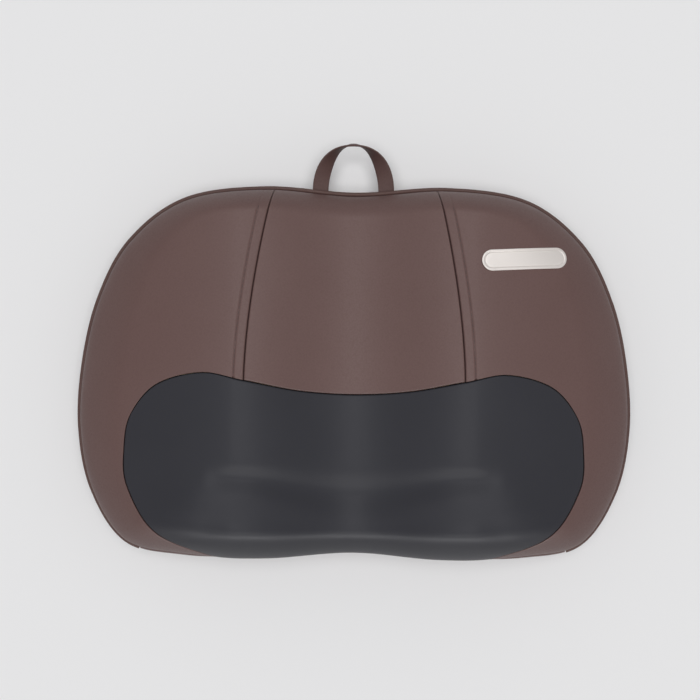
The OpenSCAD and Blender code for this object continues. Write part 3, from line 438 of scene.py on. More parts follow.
@dataclass(frozen=True)
class Finish:
    """A real material: its colours on crowns and in hollows, its gloss and its structure."""

    name: str
    colour: str
    shade: str
    roughness: float
    pattern: Pattern
    pattern_mm: float
    depth_mm: float
    metallic: float = 0.0
    ior: float = 1.5
    sheen: float = 0.0
    coat: float = 0.0
    specular: float = 0.5
    charted: bool = False
    cloud_mm: float = 38.0
    rough_spread: float = 0.06
    brush_stretch: float = 25.0

    def material(self) -> bpy.types.Material:
        """The material, made once: the pattern and soft clouds blend its colours.

        The pattern also sets the roughness, lower on its crowns, and the bump.

        Returns:
            The material.
        """
        made = bpy.data.materials.get(self.name)
        if made is not None:
            return made
        made = bpy.data.materials.new(self.name)
        made.use_nodes = True
        tree = made.node_tree
        tree.nodes.clear()
        place = add_node(tree, "ShaderNodeTexCoord").outputs["UV" if self.charted else "Object"]
        height = self.height(tree, place)
        noise = {"Scale": 1 / (self.cloud_mm * MM), "Detail": 3.0}
        cloud = add_node(tree, "ShaderNodeTexNoise", noise, {"Vector": place}).outputs["Fac"]
        blend = add_node(tree, "ShaderNodeMix", {"Factor": 0.5}, {"A": height, "B": cloud})
        colour = add_node(tree, "ShaderNodeMix", {"data_type": "RGBA"}, {"Factor": blend.outputs[0]})
        # A mix node's sockets for colours are inputs 6 and 7, and output 2
        colour.inputs[6].default_value = linear(self.shade)
        colour.inputs[7].default_value = linear(self.colour)
        gloss = {"To Min": self.roughness + self.rough_spread, "To Max": self.roughness - self.rough_spread}
        rough = add_node(tree, "ShaderNodeMapRange", gloss, {"Value": height})
        relief = {"Strength": 1.0, "Distance": self.depth_mm * MM}
        bump = add_node(tree, "ShaderNodeBump", relief, {"Height": height})
        settings = {
            "Metallic": self.metallic,
            "IOR": self.ior,
            "Sheen Weight": self.sheen,
            "Sheen Roughness": 0.5,
            "Coat Weight": self.coat,
            "Specular IOR Level": self.specular,
        }
        links = {
            "Base Color": colour.outputs[2],
            "Roughness": rough.outputs["Result"],
            "Normal": bump.outputs["Normal"],
        }
        shader = add_node(tree, "ShaderNodeBsdfPrincipled", settings, links)
        add_node(tree, "ShaderNodeOutputMaterial", None, {"Surface": shader.outputs["BSDF"]})
        return made

    def height(self, tree: bpy.types.NodeTree, place: bpy.types.NodeSocket) -> bpy.types.NodeSocket:
        """Adds the nodes of the pattern, from 0 in its hollows to 1 on its crowns.

        Args:
            tree: The node tree.
            place: The coordinates that the pattern reads, in metres.

        Returns:
            The socket with the height.
        """
        scale = 1 / (self.pattern_mm * MM)
        if self.pattern in (Pattern.KNIT, Pattern.WEAVE):
            # A band pattern repeats every 2 pi / 20 of its scaled coordinate
            stripes = {"Scale": scale * 2 * pi / 20, "Distortion": 0.0}
            ways = {}
            for i, way in enumerate("XY"):
                stripes["bands_direction"] = way
                ways[i] = add_node(tree, "ShaderNodeTexWave", stripes, {"Vector": place}).outputs["Fac"]
            join = "MULTIPLY" if self.pattern is Pattern.KNIT else "MAXIMUM"
            return add_node(tree, "ShaderNodeMath", {"operation": join}, ways).outputs[0]
        if self.pattern in (Pattern.BRUSHED, Pattern.MOULDED):
            detail = 4.0
            if self.pattern is Pattern.BRUSHED:
                detail = 2.0
                drawn = {"Scale": (1 / self.brush_stretch, 1.0, 1.0)}
                place = add_node(tree, "ShaderNodeMapping", drawn, {"Vector": place}).outputs["Vector"]
            noise = {"Scale": scale, "Detail": detail}
            return add_node(tree, "ShaderNodeTexNoise", noise, {"Vector": place}).outputs["Fac"]
        # Pebbles are high in the middle of a cell, pores are low there
        pebbled = self.pattern is Pattern.PEBBLE
        grain = {"feature": "SMOOTH_F1" if pebbled else "F1", "Scale": scale}
        cells = add_node(tree, "ShaderNodeTexVoronoi", grain, {"Vector": place}).outputs["Distance"]
        level = {"From Max": 0.7, "To Min": float(pebbled), "To Max": float(not pebbled)}
        return add_node(tree, "ShaderNodeMapRange", level, {"Value": cells}).outputs["Result"]


# Polyurethane leatherette, calendered with a fine pebble: soft broad highlights. The grain
# is about 0.7 mm and drawn at 1.1 mm, so that it shows.
LEATHERETTE = Finish(
    "polyurethane_leatherette", "634D4A", "5B4542", 0.5, Pattern.PEBBLE, 1.1, 0.012, specular=0.24
)
# The same leatherette on the strap, duller, and painted a little darker: painted shade for the loop's shaded
# inner faces
STRAP_LEATHERETTE_PAINTED_SHADE = Finish(
    "strap_leatherette_painted_shade", "57413E", "4C3936", 0.5, Pattern.PEBBLE, 1.1, 0.012, specular=0.15
)
# The same leatherette pulled tight over the piping cord, which flattens its grain, and painted a shade
# darker: painted shade for the crevice beside the wing's edge
PIPING_LEATHERETTE_PAINTED_SHADE = Finish(
    "piping_leatherette_painted_shade", "59443F", "503B38", 0.5, Pattern.PEBBLE, 1.1, 0.008, specular=0.2
)
# Bonded polyester sewing thread, twisted: dark and dull, with fine lines
THREAD = Finish("bonded_thread", "4E3F3D", "3C302E", 0.6, Pattern.BRUSHED, 0.2, 0.02)
# Brushed polyamide stretch knit: matt, with broad weak highlights. Its loops are about
# 0.4 mm and drawn at 0.8 mm, so that they show.
STRETCH_KNIT = Finish(
    "polyamide_stretch_knit", "35353A", "2E2E33", 0.42, Pattern.KNIT, 0.8, 0.012,
    specular=0.11, charted=True,
)
# Plain-woven polyester for the back: matt, with a visible weave
BACK_WEAVE = Finish("woven_polyester", "37373A", "29292B", 0.85, Pattern.WEAVE, 1.0, 0.08, sheen=0.1)
# Anodised aluminium badge, finely brushed: bright, with a soft streak
BADGE_METAL = Finish(
    "anodised_aluminium", "D4CECA", "CAC4C0", 0.5, Pattern.BRUSHED, 0.3, 0.01, metallic=0.35
)
# Open-cell polyurethane foam: matt, full of small pores
FOAM = Finish("polyurethane_foam", "D9CC9E", "B5A878", 0.95, Pattern.PORES, 1.4, 0.4)
# ABS mouldings with a fine spark-eroded grain: an even, half-dull face
HOUSING_ABS = Finish("moulded_abs_grey", "CBCBC7", "BDBDB9", 0.5, Pattern.MOULDED, 0.5, 0.02)
BLACK_ABS = Finish("moulded_abs_black", "222224", "19191A", 0.45, Pattern.MOULDED, 0.5, 0.02)
BUTTON_ABS = Finish("moulded_abs_button", "8E8B89", "827F7D", 0.4, Pattern.MOULDED, 0.4, 0.01)
# Moulded nylon gears, undyed: off-white and slightly waxy
NYLON = Finish("moulded_nylon", "E6E3DA", "D9D5CB", 0.48, Pattern.MOULDED, 0.6, 0.01, ior=1.53)
# Zinc-plated steel, turned and pressed: cool and bright, with fine tool lines
STEEL = Finish("plated_steel", "BDBEC2", "A7A8AC", 0.32, Pattern.BRUSHED, 0.25, 0.01, metallic=1.0)
# Turned brass: warm and bright, with fine tool lines
BRASS = Finish("turned_brass", "C9A75E", "B08F4A", 0.3, Pattern.BRUSHED, 0.25, 0.01, metallic=1.0)
# Moulded silicone rubber caps: smooth and dull
SILICONE = Finish("silicone_rubber", "555558", "48484B", 0.7, Pattern.MOULDED, 0.8, 0.02, ior=1.41)
# Heat-shrunk vinyl sleeve of the cells: tight and glossy
CELL_SLEEVE = Finish("vinyl_sleeve", "3F6AA3", "345A8D", 0.25, Pattern.MOULDED, 2.0, 0.01, coat=0.3)
# Epoxy glass board under solder mask: glossy green, with the weave just showing
SOLDER_MASK = Finish("solder_mask", "1E6236", "17502B", 0.3, Pattern.WEAVE, 0.8, 0.01, coat=0.4)
# Extruded vinyl insulation of cable and leads: smooth, half dull
CABLE_VINYL = Finish("cable_vinyl", "1A1A1B", "121213", 0.5, Pattern.MOULDED, 0.8, 0.01)
WIRE_VINYL = Finish("wire_vinyl", "9C2A24", "84211C", 0.42, Pattern.MOULDED, 0.8, 0.01)
# Clear acrylic with a white core: milky and glossy
LENS_ACRYLIC = Finish("milky_acrylic", "EEF2EE", "E2E7E2", 0.18, Pattern.MOULDED, 1.0, 0.005, ior=1.49)

SLOT_FINISH = {
    "brown_leather": LEATHERETTE,
    "loop_leather": STRAP_LEATHERETTE_PAINTED_SHADE,
    "charcoal_fabric": STRETCH_KNIT,
    "back_fabric": BACK_WEAVE,
    "badge_metal": BADGE_METAL,
    "foam": FOAM,
    "housing_plastic": HOUSING_ABS,
    "steel": STEEL,
    "black_plastic": BLACK_ABS,
    "white_nylon": NYLON,
    "brass": BRASS,
    "cap_rubber": SILICONE,
    "cell_sleeve": CELL_SLEEVE,
    "board_green": SOLDER_MASK,
    "cable_rubber": CABLE_VINYL,
    "wire_rubber": WIRE_VINYL,
    "button_plastic": BUTTON_ABS,
    "lens_plastic": LENS_ACRYLIC,
}


# The cushion's form


@dataclass
class CushionForm:
    """Outline and front of the cushion, by the part's formulas with softer folds and edges.

    A fold is its rise, its y and its width, in the middle and at fold_x.
    """

    half_w: float = 210.0
    half_h: float = 141.0
    seam_z: float = 36.0
    top_z: float = 58.0
    massage_z: float = 82.8
    massage_y: float = -64.0
    ridge_rise: float = 18.0
    ridge_x: float = 88.0
    wing_fall: float = 36.0
    fall_power: float = 1.5
    panel_inset: float = 4.2
    round_side: float = 36.0
    round_top: float = 18.0
    round_low: float = 26.0
    round_low_mid: float = 19.5
    bulge_side: float = 3.0
    side_power: float = 1.8
    bulge_top: float = 1.2
    bulge_low: float = 3.0
    bulge_corner: float = 1.4
    corner_x: float = 82.0
    corner_fade: float = 40.0
    fold_x: float = 84.0
    fold_fade: float = 26.0
    lobe_rise: float = 4.6
    lobe_at: tuple[float, float] = (120.0, -95.0)
    lobe_size: tuple[float, float] = (26.0, 18.0)
    step: float = 0.02
    seam_steps: int = 24
    search_steps: int = 4001
    chunk: int = 4000
    shape: tuple[tuple[float, float], ...] = (
        (0, 0.97), (0.33, 1), (0.62, 0.935), (0.82, 0.71), (0.93, 0.405), (0.985, 0.06),
        (0.998, -0.3), (0.951, -0.642), (0.826, -0.92), (0.62, -0.993), (0.31, -1.006), (0, -0.974),
    )
    folds_mid: tuple[tuple[float, float, float], ...] = ((-4.2, -89.0, 13.0), (0.8, -118.0, 8.0))
    folds_side: tuple[tuple[float, float, float], ...] = ((-3.6, -76.5, 7.5), (1.2, -118.0, 8.0))
    outline: Array = field(init=False)
    seam: Array = field(init=False)

    def __post_init__(self) -> None:
        """Mirrors the half outline and lays points along the front seam."""
        half = np.array(self.shape) * (self.half_w, self.half_h)
        self.outline = np.concatenate([half, half[-2:0:-1] * (-1, 1)])
        count = self.spans * self.seam_steps
        self.seam = self.edge_at(np.arange(count) / self.seam_steps, self.panel_inset)

    @property
    def spans(self) -> int:
        """Number of stretches of the outline."""
        return len(self.outline)

    def outline_at(self, k: Array) -> Array:
        """The outline at k, from the middle of the top edge clockwise."""
        index = np.floor(k).astype(int)
        return curve(self.outline, index, k - index)

    def inward(self, k: Array) -> Array:
        """Direction into the cushion, square to the outline at k."""
        along = unit(self.outline_at(k + self.step) - self.outline_at(k - self.step))
        return np.stack([along[..., 1], -along[..., 0]], axis=-1)

    def edge_at(self, k: Array, inset: Number) -> Array:
        """The outline at k, moved inwards by inset."""
        return self.outline_at(k) + np.asarray(inset)[..., None] * self.inward(k)

    def edge_k(self, x: float, inset: float, low: float, high: float) -> float:
        """Finds where the inset edge has the wanted x.

        Args:
            x: The wanted x.
            inset: How far inside the outline the edge lies.
            low: Least k to look at.
            high: Largest k to look at.

        Returns:
            The k.
        """
        k = np.linspace(low, high, self.search_steps)
        edge = self.edge_at(k, inset)[:, 0]
        order = np.argsort(edge)
        return float(np.interp(x, edge[order], k[order]))

    def edge_near(self, plan: Array) -> tuple[Array, Array]:
        """Distance from the front seam, and the direction inwards from the nearest place on it.

        Args:
            plan: Points by two numbers.

        Returns:
            The distances and the directions.
        """
        count = len(self.seam)
        nearest = np.concatenate([
            ((part[:, None] - self.seam[None]) ** 2).sum(axis=-1).argmin(axis=1)
            for part in np.array_split(plan, len(plan) // self.chunk + 1)
        ])
        found = []
        for start in (nearest - 1, nearest):
            a, b = self.seam[start % count], self.seam[(start + 1) % count]
            run = b - a
            t = np.clip(((plan - a) * run).sum(-1) / (run * run).sum(-1), 0, 1)
            off = np.linalg.norm(plan - a - t[:, None] * run, axis=-1)
            found.append((off, (start + t) / self.seam_steps))
        first = found[0][0] < found[1][0]
        distance = np.where(first, found[0][0], found[1][0])
        return distance, self.inward(np.where(first, found[0][1], found[1][1]))

    @staticmethod
    def by_side(inward: Array, side: Number, top: Number, low: Number) -> Array:
        """A size that differs round the edge: shares by the squares of the edge's direction."""
        end = np.where(inward[:, 1] < 0, top, low)
        return side * inward[:, 0] ** 2 + end * inward[:, 1] ** 2

    def corner_share(self, x: Array) -> Array:
        """Share from 0 under the pad to 1 at the lower corners."""
        return smooth((np.abs(x) - self.corner_x) / self.corner_fade)

    def crown(self, plan: Array) -> Array:
        """Height of the front away from its edge.

        A groove between two ridges by a cosine wave, falling to the sides by a power and to
        the top by a sine, with bell-shaped folds across the pad and a bell-shaped lobe at
        each of its lower corners.

        Args:
            plan: Points by two numbers.

        Returns:
            Their heights.
        """
        x, y = np.abs(plan[:, 0]), plan[:, 1]
        t = np.clip((self.half_h - y) / (self.half_h - self.massage_y), 0, 1)
        spine = mix(self.top_z, self.massage_z, np.sin(pi / 2 * t))
        share = 1 - smooth((x - self.fold_x) / self.fold_fade)
        bend = smooth(x / self.fold_x)
        for mid, side in zip(self.folds_mid, self.folds_side):
            rise, at, wide = (mix(a, b, bend) for a, b in zip(mid, side))
            spine = spine + share * rise * bell(y, at, wide)
        lobe = bell(x, self.lobe_at[0], self.lobe_size[0]) * bell(y, self.lobe_at[1], self.lobe_size[1])
        spine = spine + self.lobe_rise * lobe
        inner = self.ridge_rise * (1 - np.cos(pi * x / self.ridge_x)) / 2
        beyond = np.clip((x - self.ridge_x) / (self.half_w - self.ridge_x), 0, None)
        outer = self.ridge_rise - self.wing_fall * beyond**self.fall_power
        return spine + np.where(x < self.ridge_x, inner, outer)

    def front(self, plan: Array) -> Array:
        """The front over points in plan.

        Its height is the crown, rounded over to the front seam by a quarter of an ellipse.
        Above the seam it's pushed outwards by its filling, by a hump over the height.

        Args:
            plan: A grid of points by two numbers.

        Returns:
            The grid of points in space.
        """
        flat = plan.reshape(-1, 2)
        distance, inward = self.edge_near(flat)
        round_low = mix(self.round_low_mid, self.round_low, smooth(np.abs(flat[:, 0]) / self.fold_x))
        length = self.by_side(inward, self.round_side, self.round_top, round_low)
        swell = np.sqrt(1 - (1 - np.clip(distance / length, 0, 1)) ** 2)
        z = self.seam_z + (self.crown(flat) - self.seam_z) * swell
        low = mix(self.bulge_low, self.bulge_corner, self.corner_share(flat[:, 0]))
        early, late = hump(swell, 1), hump(swell, self.side_power)
        push = self.by_side(inward, self.bulge_side * late, self.bulge_top * early, low * early)
        return lift(flat - inward * push[:, None], z).reshape(*plan.shape[:-1], 3)

    def height(self, plan: Array) -> Array:
        """Height of the front over points in plan."""
        return self.front(plan)[..., 2]


@dataclass
class SeamPlan:
    """The pad's edge and the two wing seams, in plan."""

    form: CushionForm
    pad_x: float = 168.0
    pad_top: float = 0.0
    pad_foot: float = 97.0
    seam_low_x: float = 80.0
    seam_top_x: float = 60.0
    seam_drop: float = 5.5
    seam_power: float = 1.7
    seam_q: float = 2.0
    corner_q: float = 5.0
    foot_range: tuple[float, float] = (8.0, 10.8)
    step: float = 0.02
    points: Array = field(init=False)
    foot_k: float = field(init=False)

    def __post_init__(self) -> None:
        """Lays the pad's half edge, with two more points before its start and after its end."""
        x, y = self.pad_x, self.pad_top
        self.foot_k = self.form.edge_k(self.pad_foot, self.form.panel_inset, *self.foot_range)
        foot = self.form.edge_at(np.array(self.foot_k), self.form.panel_inset)
        half = np.array([
            [0, y - 15.5], [self.seam_low_x / 2, y - 13], [self.seam_low_x, self.join_y], [x - 57, y],
            [x - 24, y - 9], [x - 5, y - 31], [x, y - 55], [x - 2.5, y - 84], [x - 25.5, y - 118], foot,
        ])
        before = half[2:0:-1] * (-1, 1)
        after = 2 * half[-1] - half[-2:-4:-1]
        self.points = np.concatenate([before, half, after])

    @property
    def last_q(self) -> float:
        """The q of the pad's foot: the number of the last point, without the four added ones."""
        return len(self.points) - 5.0

    @property
    def join_y(self) -> float:
        """Where the wing seams meet the pad."""
        return self.pad_top - self.seam_drop

    def half_edge(self, q: Array) -> Array:
        """The pad's right-hand edge at q, from the top middle to the foot."""
        index = np.clip(np.floor(q), -1, self.last_q - 1).astype(int)
        return curve(self.points, index + 2, q - index)

    def pad_edge(self, q: Array, out: float) -> Array:
        """The pad's edge, moved away from the pad square to itself.

        Args:
            q: Place along the edge from the top middle; a negative one is on the left.
            out: How far it's moved.

        Returns:
            Points in plan.
        """
        a = np.abs(q)
        along = unit(self.half_edge(a + self.step) - self.half_edge(a - self.step))
        p = self.half_edge(a)
        x = np.where(q < 0, -1.0, 1.0) * (p[..., 0] - along[..., 1] * out)
        return np.stack([x, p[..., 1] + along[..., 0] * out], axis=-1)

    def seam_x(self, y: Array) -> Array:
        """Half width between the wing seams at y, by a power of the way to the top."""
        t = np.clip((y - self.join_y) / (self.form.half_h - self.join_y), 0, 1)
        return mix(self.seam_low_x, self.seam_top_x, t**self.seam_power)


def rolled(distance: Array, dip: float, width: float) -> Array:
    """How far a sewn edge turns down: a quarter circle of that width, stretched to that dip."""
    return dip * (1 - np.sqrt(1 - (1 - np.clip(distance / width, 0, 1)) ** 2))


def spread(count: int, at: Array) -> Array:
    """Weights that carry values at every whole step to places between them, along a smooth cubic.

    Args:
        count: Number of values.
        at: The places, from 0 to count - 1.

    Returns:
        A matrix of places by values.
    """
    index = np.clip(np.floor(at).astype(int), 0, count - 2)
    t = at - index
    parts = (2 * t**2 - t - t**3, 2 - 5 * t**2 + 3 * t**3, t + 4 * t**2 - 3 * t**3, t**3 - t**2)
    weights = np.zeros((len(at), count))
    for offset, part in zip((-1, 0, 1, 2), parts):
        np.add.at(weights, (np.arange(len(at)), np.clip(index + offset, 0, count - 1)), part / 2)
    return weights


@dataclass
class Filling:
    """The soft filling that pushes a sewn panel out between its seams, by cloth simulation."""

    pressure: float = 4.0
    last_frame: int = 20
    pitch: float = 5.0
    most: float = 2.2
    mass: float = 0.3
    stiffness: float = 15.0
    bending: float = 5.0
    even_passes: int = 60

    def swell(self, grid: Array, held: Array | None = None) -> Array:
        """Movement of a panel that is held at its edges and pushed from inside.

        The cloth runs on a thinned grid with about the pitch between its points. The
        movement is limited smoothly, by a hyperbolic tangent, evened out, because padding
        under the panel keeps small creases out, and spread to the full grid.

        Args:
            grid: The panel's points, rows by columns.
            held: True where stitches hold the panel down.

        Returns:
            The movement of each point, in millimetres.
        """
        rows, down = self.thinned(grid)
        cols, across = self.thinned(grid.swapaxes(0, 1))
        sheet = grid[np.ix_(rows, cols)]
        pinned = np.zeros(sheet.shape[:2], dtype=bool)
        pinned[[0, -1]] = True
        pinned[:, [0, -1]] = True
        if held is not None:
            pinned |= held[np.ix_(rows, cols)]
        moved = self.blown(sheet, pinned) - sheet
        size = np.maximum(np.linalg.norm(moved, axis=-1, keepdims=True), 1e-9)
        moved = self.evened(moved * self.most * np.tanh(size / self.most) / size, pinned)
        return np.einsum("ri,ijk,cj->rck", down, moved, across)

    def evened(self, moved: Array, pinned: Array) -> Array:
        """Evens out a movement: in each pass a point goes halfway to the mean of its four neighbours.

        Args:
            moved: The movement of the thinned panel's points.
            pinned: True at the points that don't move.

        Returns:
            The evened movement.
        """
        for _ in range(self.even_passes):
            mean = (moved[:-2, 1:-1] + moved[2:, 1:-1] + moved[1:-1, :-2] + moved[1:-1, 2:]) / 4
            moved[1:-1, 1:-1] = (moved[1:-1, 1:-1] + mean) / 2
            moved[pinned] = 0
        return moved

    def thinned(self, grid: Array) -> tuple[Array, Array]:
        """Rows about a pitch apart.

        Args:
            grid: The panel's points, rows by columns.

        Returns:
            The numbers of the rows that stay, and the weights from them to all rows.
        """
        run = np.linalg.norm(np.diff(grid, axis=0), axis=-1).mean(axis=1).cumsum()
        run = np.concatenate([[0.0], run])
        marks = np.linspace(0, run[-1], int(run[-1] / self.pitch) + 2)
        keep = np.unique(np.abs(run[:, None] - marks[None]).argmin(axis=0))
        return keep, spread(len(keep), np.interp(run, run[keep], np.arange(len(keep))))

    def blown(self, sheet: Array, pinned: Array) -> Array:
        """Runs the cloth.

        Args:
            sheet: Points of the thinned panel.
            pinned: True at the points that don't move.

        Returns:
            The points after the last frame.
        """
        scene = bpy.context.scene
        mesh = bpy.data.meshes.new("cloth")
        index = np.arange(pinned.size).reshape(pinned.shape)
        mesh.from_pydata((sheet.reshape(-1, 3) * MM).tolist(), [], grid_faces(index).tolist())
        made = bpy.data.objects.new("cloth", mesh)
        scene.collection.objects.link(made)
        group = made.vertex_groups.new(name="seams")
        group.add(np.flatnonzero(pinned).tolist(), 1.0, "REPLACE")
        modifier = made.modifiers.new("cloth", "CLOTH")
        modifier.point_cache.frame_start = 1
        modifier.point_cache.frame_end = self.last_frame
        cloth = modifier.settings
        cloth.mass = self.mass
        cloth.tension_stiffness = self.stiffness
        cloth.compression_stiffness = self.stiffness
        cloth.bending_stiffness = self.bending
        cloth.vertex_group_mass = group.name
        cloth.use_pressure = True
        cloth.uniform_pressure_force = self.pressure
        cloth.effector_weights.gravity = 0.0
        for step in range(1, self.last_frame + 1):
            scene.frame_set(step)
        graph = bpy.context.evaluated_depsgraph_get()
        points = np.empty(pinned.size * 3)
        made.evaluated_get(graph).data.vertices.foreach_get("co", points)
        bpy.data.objects.remove(made)
        bpy.data.meshes.remove(mesh)
        scene.frame_set(1)
        return points.reshape(sheet.shape) / MM


# Sub-assemblies


@dataclass
class FrontCovers:
    """The leatherette covers of the front: the center, the two wings and their topstitching."""

    form: CushionForm
    plan: SeamPlan
    filling: Filling
    thickness: float = 5.0
    fill: float = 0.9
    gap: float = 0.15
    roll_dip: float = 1.6
    roll_width: float = 1.2
    center_grid: tuple[int, int] = (200, 150)
    wing_rows: tuple[int, int] = (190, 150)
    wing_cols: int = 140
    wing_crowd: float = 1.3
    wing_join_k: float = 4.3
    wing_join_q: float = 0.02
    wing_foot_k: float = 0.1
    wing_tip: float = 5.0
    top_range: tuple[float, float] = (0.0, 2.0)
    stitch_out: float = 7.5
    stitch_len: float = 3.0
    stitch_pitch: float = 3.9
    stitch_r: float = 0.24
    stitch_proud: float = 0.05
    stitch_first: float = 4.5
    stitch_top: float = 127.0
    stitch_fade: float = 14.0
    stitch_points: int = 7
    stitch_sides: int = 8
    groove: float = 0.6
    groove_half: float = 0.6
    groove_start: tuple[float, float] = (-3.0, 1.0)
    wing_front: Array = field(init=False)

    def top_k(self, x: float) -> float:
        """Where the front seam's top edge has the wanted x."""
        return self.form.edge_k(x, self.form.panel_inset, *self.top_range)

    def center(self) -> Shell:
        """Center cover: rows from the pad's edge to the front seam, each from one wing seam to the other.

        Returns:
            The cover.
        """
        v, u = graded(self.center_grid[0]), 2 * graded(self.center_grid[1]) - 1
        low = self.plan.pad_edge(u * self.plan.seam_q, self.gap)
        high = self.form.edge_at(u * self.top_k(self.plan.seam_top_x - self.gap), self.form.panel_inset)
        y = mix(low[None, :, 1], high[None, :, 1], v[:, None])
        half = self.plan.seam_x(y) - self.gap
        x = u * half
        edge = np.minimum(half - np.abs(x), y - low[None, :, 1])
        front = self.form.front(np.stack([x, y], axis=-1))
        top = sunk(front + self.filling.swell(front), rolled(edge, self.roll_dip, self.roll_width))
        return slab(top, sunk(top, self.thickness))

    def wing(self) -> Shell:
        """Right wing: straight rows from the pad's edge, then the wing seam, out to the front seam.

        Returns:
            The cover.
        """
        s, t = np.linspace(0, 1, self.wing_rows[0]), graded(self.wing_rows[1])[1:]
        up = 1 - (1 - t) ** self.wing_crowd
        inset = self.form.panel_inset
        top_y = self.form.edge_at(np.array(self.top_k(self.plan.seam_top_x)), inset)[1]
        tip_k = self.top_k(self.plan.seam_top_x + self.gap + self.wing_tip)
        y = mix(self.plan.join_y, top_y, up)
        q = mix(self.plan.last_q, self.plan.seam_q + self.wing_join_q, s)
        by_seam = np.stack([self.plan.seam_x(y) + self.gap, y], axis=-1)
        inner = np.concatenate([self.plan.pad_edge(q, self.gap), by_seam])
        beside_pad = mix(self.plan.foot_k - self.wing_foot_k, self.wing_join_k, s)
        outer = self.form.edge_at(np.concatenate([beside_pad, mix(self.wing_join_k, tip_k, up)]), inset)
        plan = mix(inner[:, None], outer[:, None], graded(self.wing_cols)[None, :, None])
        edge = np.linalg.norm(plan - inner[:, None], axis=-1)
        front = self.form.front(plan)
        self.wing_front = front + self.filling.swell(front, self.stitch_off(plan) < self.filling.pitch)
        dip = rolled(edge, self.roll_dip, self.roll_width) + self.stitch_dent(plan)
        top = sunk(self.wing_front, dip)
        return slab(top, sunk(top, self.thickness))

    def stitch_off(self, plan: Array) -> Array:
        """Distance across from the topstitching.

        Args:
            plan: Points by two numbers.

        Returns:
            The distances, endless above and below the stitching.
        """
        off = np.abs(plan[..., 0] - self.plan.seam_x(plan[..., 1]) - self.stitch_out)
        beside = (plan[..., 1] > self.plan.join_y) & (plan[..., 1] < self.stitch_top)
        return np.where(beside, off, np.inf)

    def stitch_dent(self, plan: Array) -> Array:
        """Depth of the line that the topstitching pulls in: a narrow bell across, fading at both ends.

        Args:
            plan: Points by two numbers.

        Returns:
            The depths.
        """
        off = plan[..., 0] - self.plan.seam_x(plan[..., 1]) - self.stitch_out
        fade = 1 - smooth((plan[..., 1] - self.stitch_top) / self.stitch_fade)
        low, high = self.groove_start
        start = smooth((plan[..., 1] - self.plan.join_y - low) / (high - low))
        return self.groove * fade * start * bell(off, 0, self.groove_half)

    def stitches(self) -> Shell:
        """Topstitching on the right wing: short threads with rounded, sunken ends, beside the seam.

        Returns:
            All of the threads.
        """
        first = self.plan.join_y + self.stitch_first
        start = first + self.stitch_pitch * np.arange(int((self.stitch_top - first) / self.stitch_pitch))
        run = np.linspace(0, 1, self.stitch_points)
        y = start[:, None] + self.stitch_len * run
        plan = np.stack([self.plan.seam_x(y) + self.stitch_out, y], axis=-1)
        sink = self.groove - self.stitch_proud + self.stitch_r / 2 * (2 * run - 1) ** 4
        path = lift(plan, self.form.height(plan) - sink)
        radius = self.stitch_r * np.sqrt(np.clip(1 - (2 * run - 1) ** 6, 0.05, 1))
        return joined([tube(round_tube(p, radius, self.stitch_sides)) for p in path])

    def build(self) -> list[bpy.types.Object]:
        """Makes the three covers and their stitches.

        Returns:
            The pieces.
        """
        middle = Piece("center_cover_leather", "brown_leather", ("center_cover",))
        center = middle.place(self.center(), LEATHERETTE)
        right, thread = self.wing(), self.stitches()
        wings = []
        for name, shell in (("right_wing", right), ("left_wing", mirrored(right))):
            piece = Piece(f"{name}_leather", "brown_leather", (f"{name}_cover",))
            wings.append(piece.place(shell, LEATHERETTE))
        made = [*wings, center]
        both = joined([thread, mirrored(thread)])
        return [*made, Piece("wing_topstitching", "brown_leather").place(both, THREAD)]


@dataclass
class MassagePad:
    """The stretch pad over the rotors, sewn in flush and rolled over the bottom edge."""

    form: CushionForm
    plan: SeamPlan
    filling: Filling
    thickness: float = 8.0
    fill: float = 0.9
    gap: float = 0.15
    roll_dip: float = 1.6
    roll_width: float = 1.3
    rows: int = 175
    cols: int = 270

    def shell(self) -> Shell:
        """A grid between the bottom edge, the pad's top and its two sides.

        Each point is the sum of the two blends between opposite curves, less the blend
        between the four corners.

        Returns:
            The pad.
        """
        across, along = graded(self.cols), graded(self.rows)
        u, v = across[None, :, None], along[:, None, None]
        k = mix(self.form.spans - self.plan.foot_k, self.plan.foot_k, across)
        low = self.form.edge_at(k, self.form.panel_inset)
        high = self.plan.pad_edge(mix(-self.plan.corner_q, self.plan.corner_q, across), -self.gap)
        right = self.plan.pad_edge(mix(self.plan.last_q, self.plan.corner_q, along), -self.gap)
        left = right * (-1, 1)
        low[0], low[-1] = left[0], right[0]
        curves = mix(low[None], high[None], v) + mix(left[:, None], right[:, None], u)
        plan = curves - mix(mix(left[0], right[0], u), mix(left[-1], right[-1], u), v)
        sewn = (plan[-1:], plan[:, :1], plan[:, -1:])
        edge = np.minimum.reduce([np.linalg.norm(plan - other, axis=-1) for other in sewn])
        front = self.form.front(plan)
        top = sunk(front + self.filling.swell(front), rolled(edge, self.roll_dip, self.roll_width))
        return slab(top, sunk(top, self.thickness), arc_chart(top))

    def build(self) -> list[bpy.types.Object]:
        """Makes the pad.

        Returns:
            The piece.
        """
        piece = Piece("massage_pad_knit", "charcoal_fabric", ("massage_pad",))
        made = piece.place(self.shell(), STRETCH_KNIT)
        return [made]


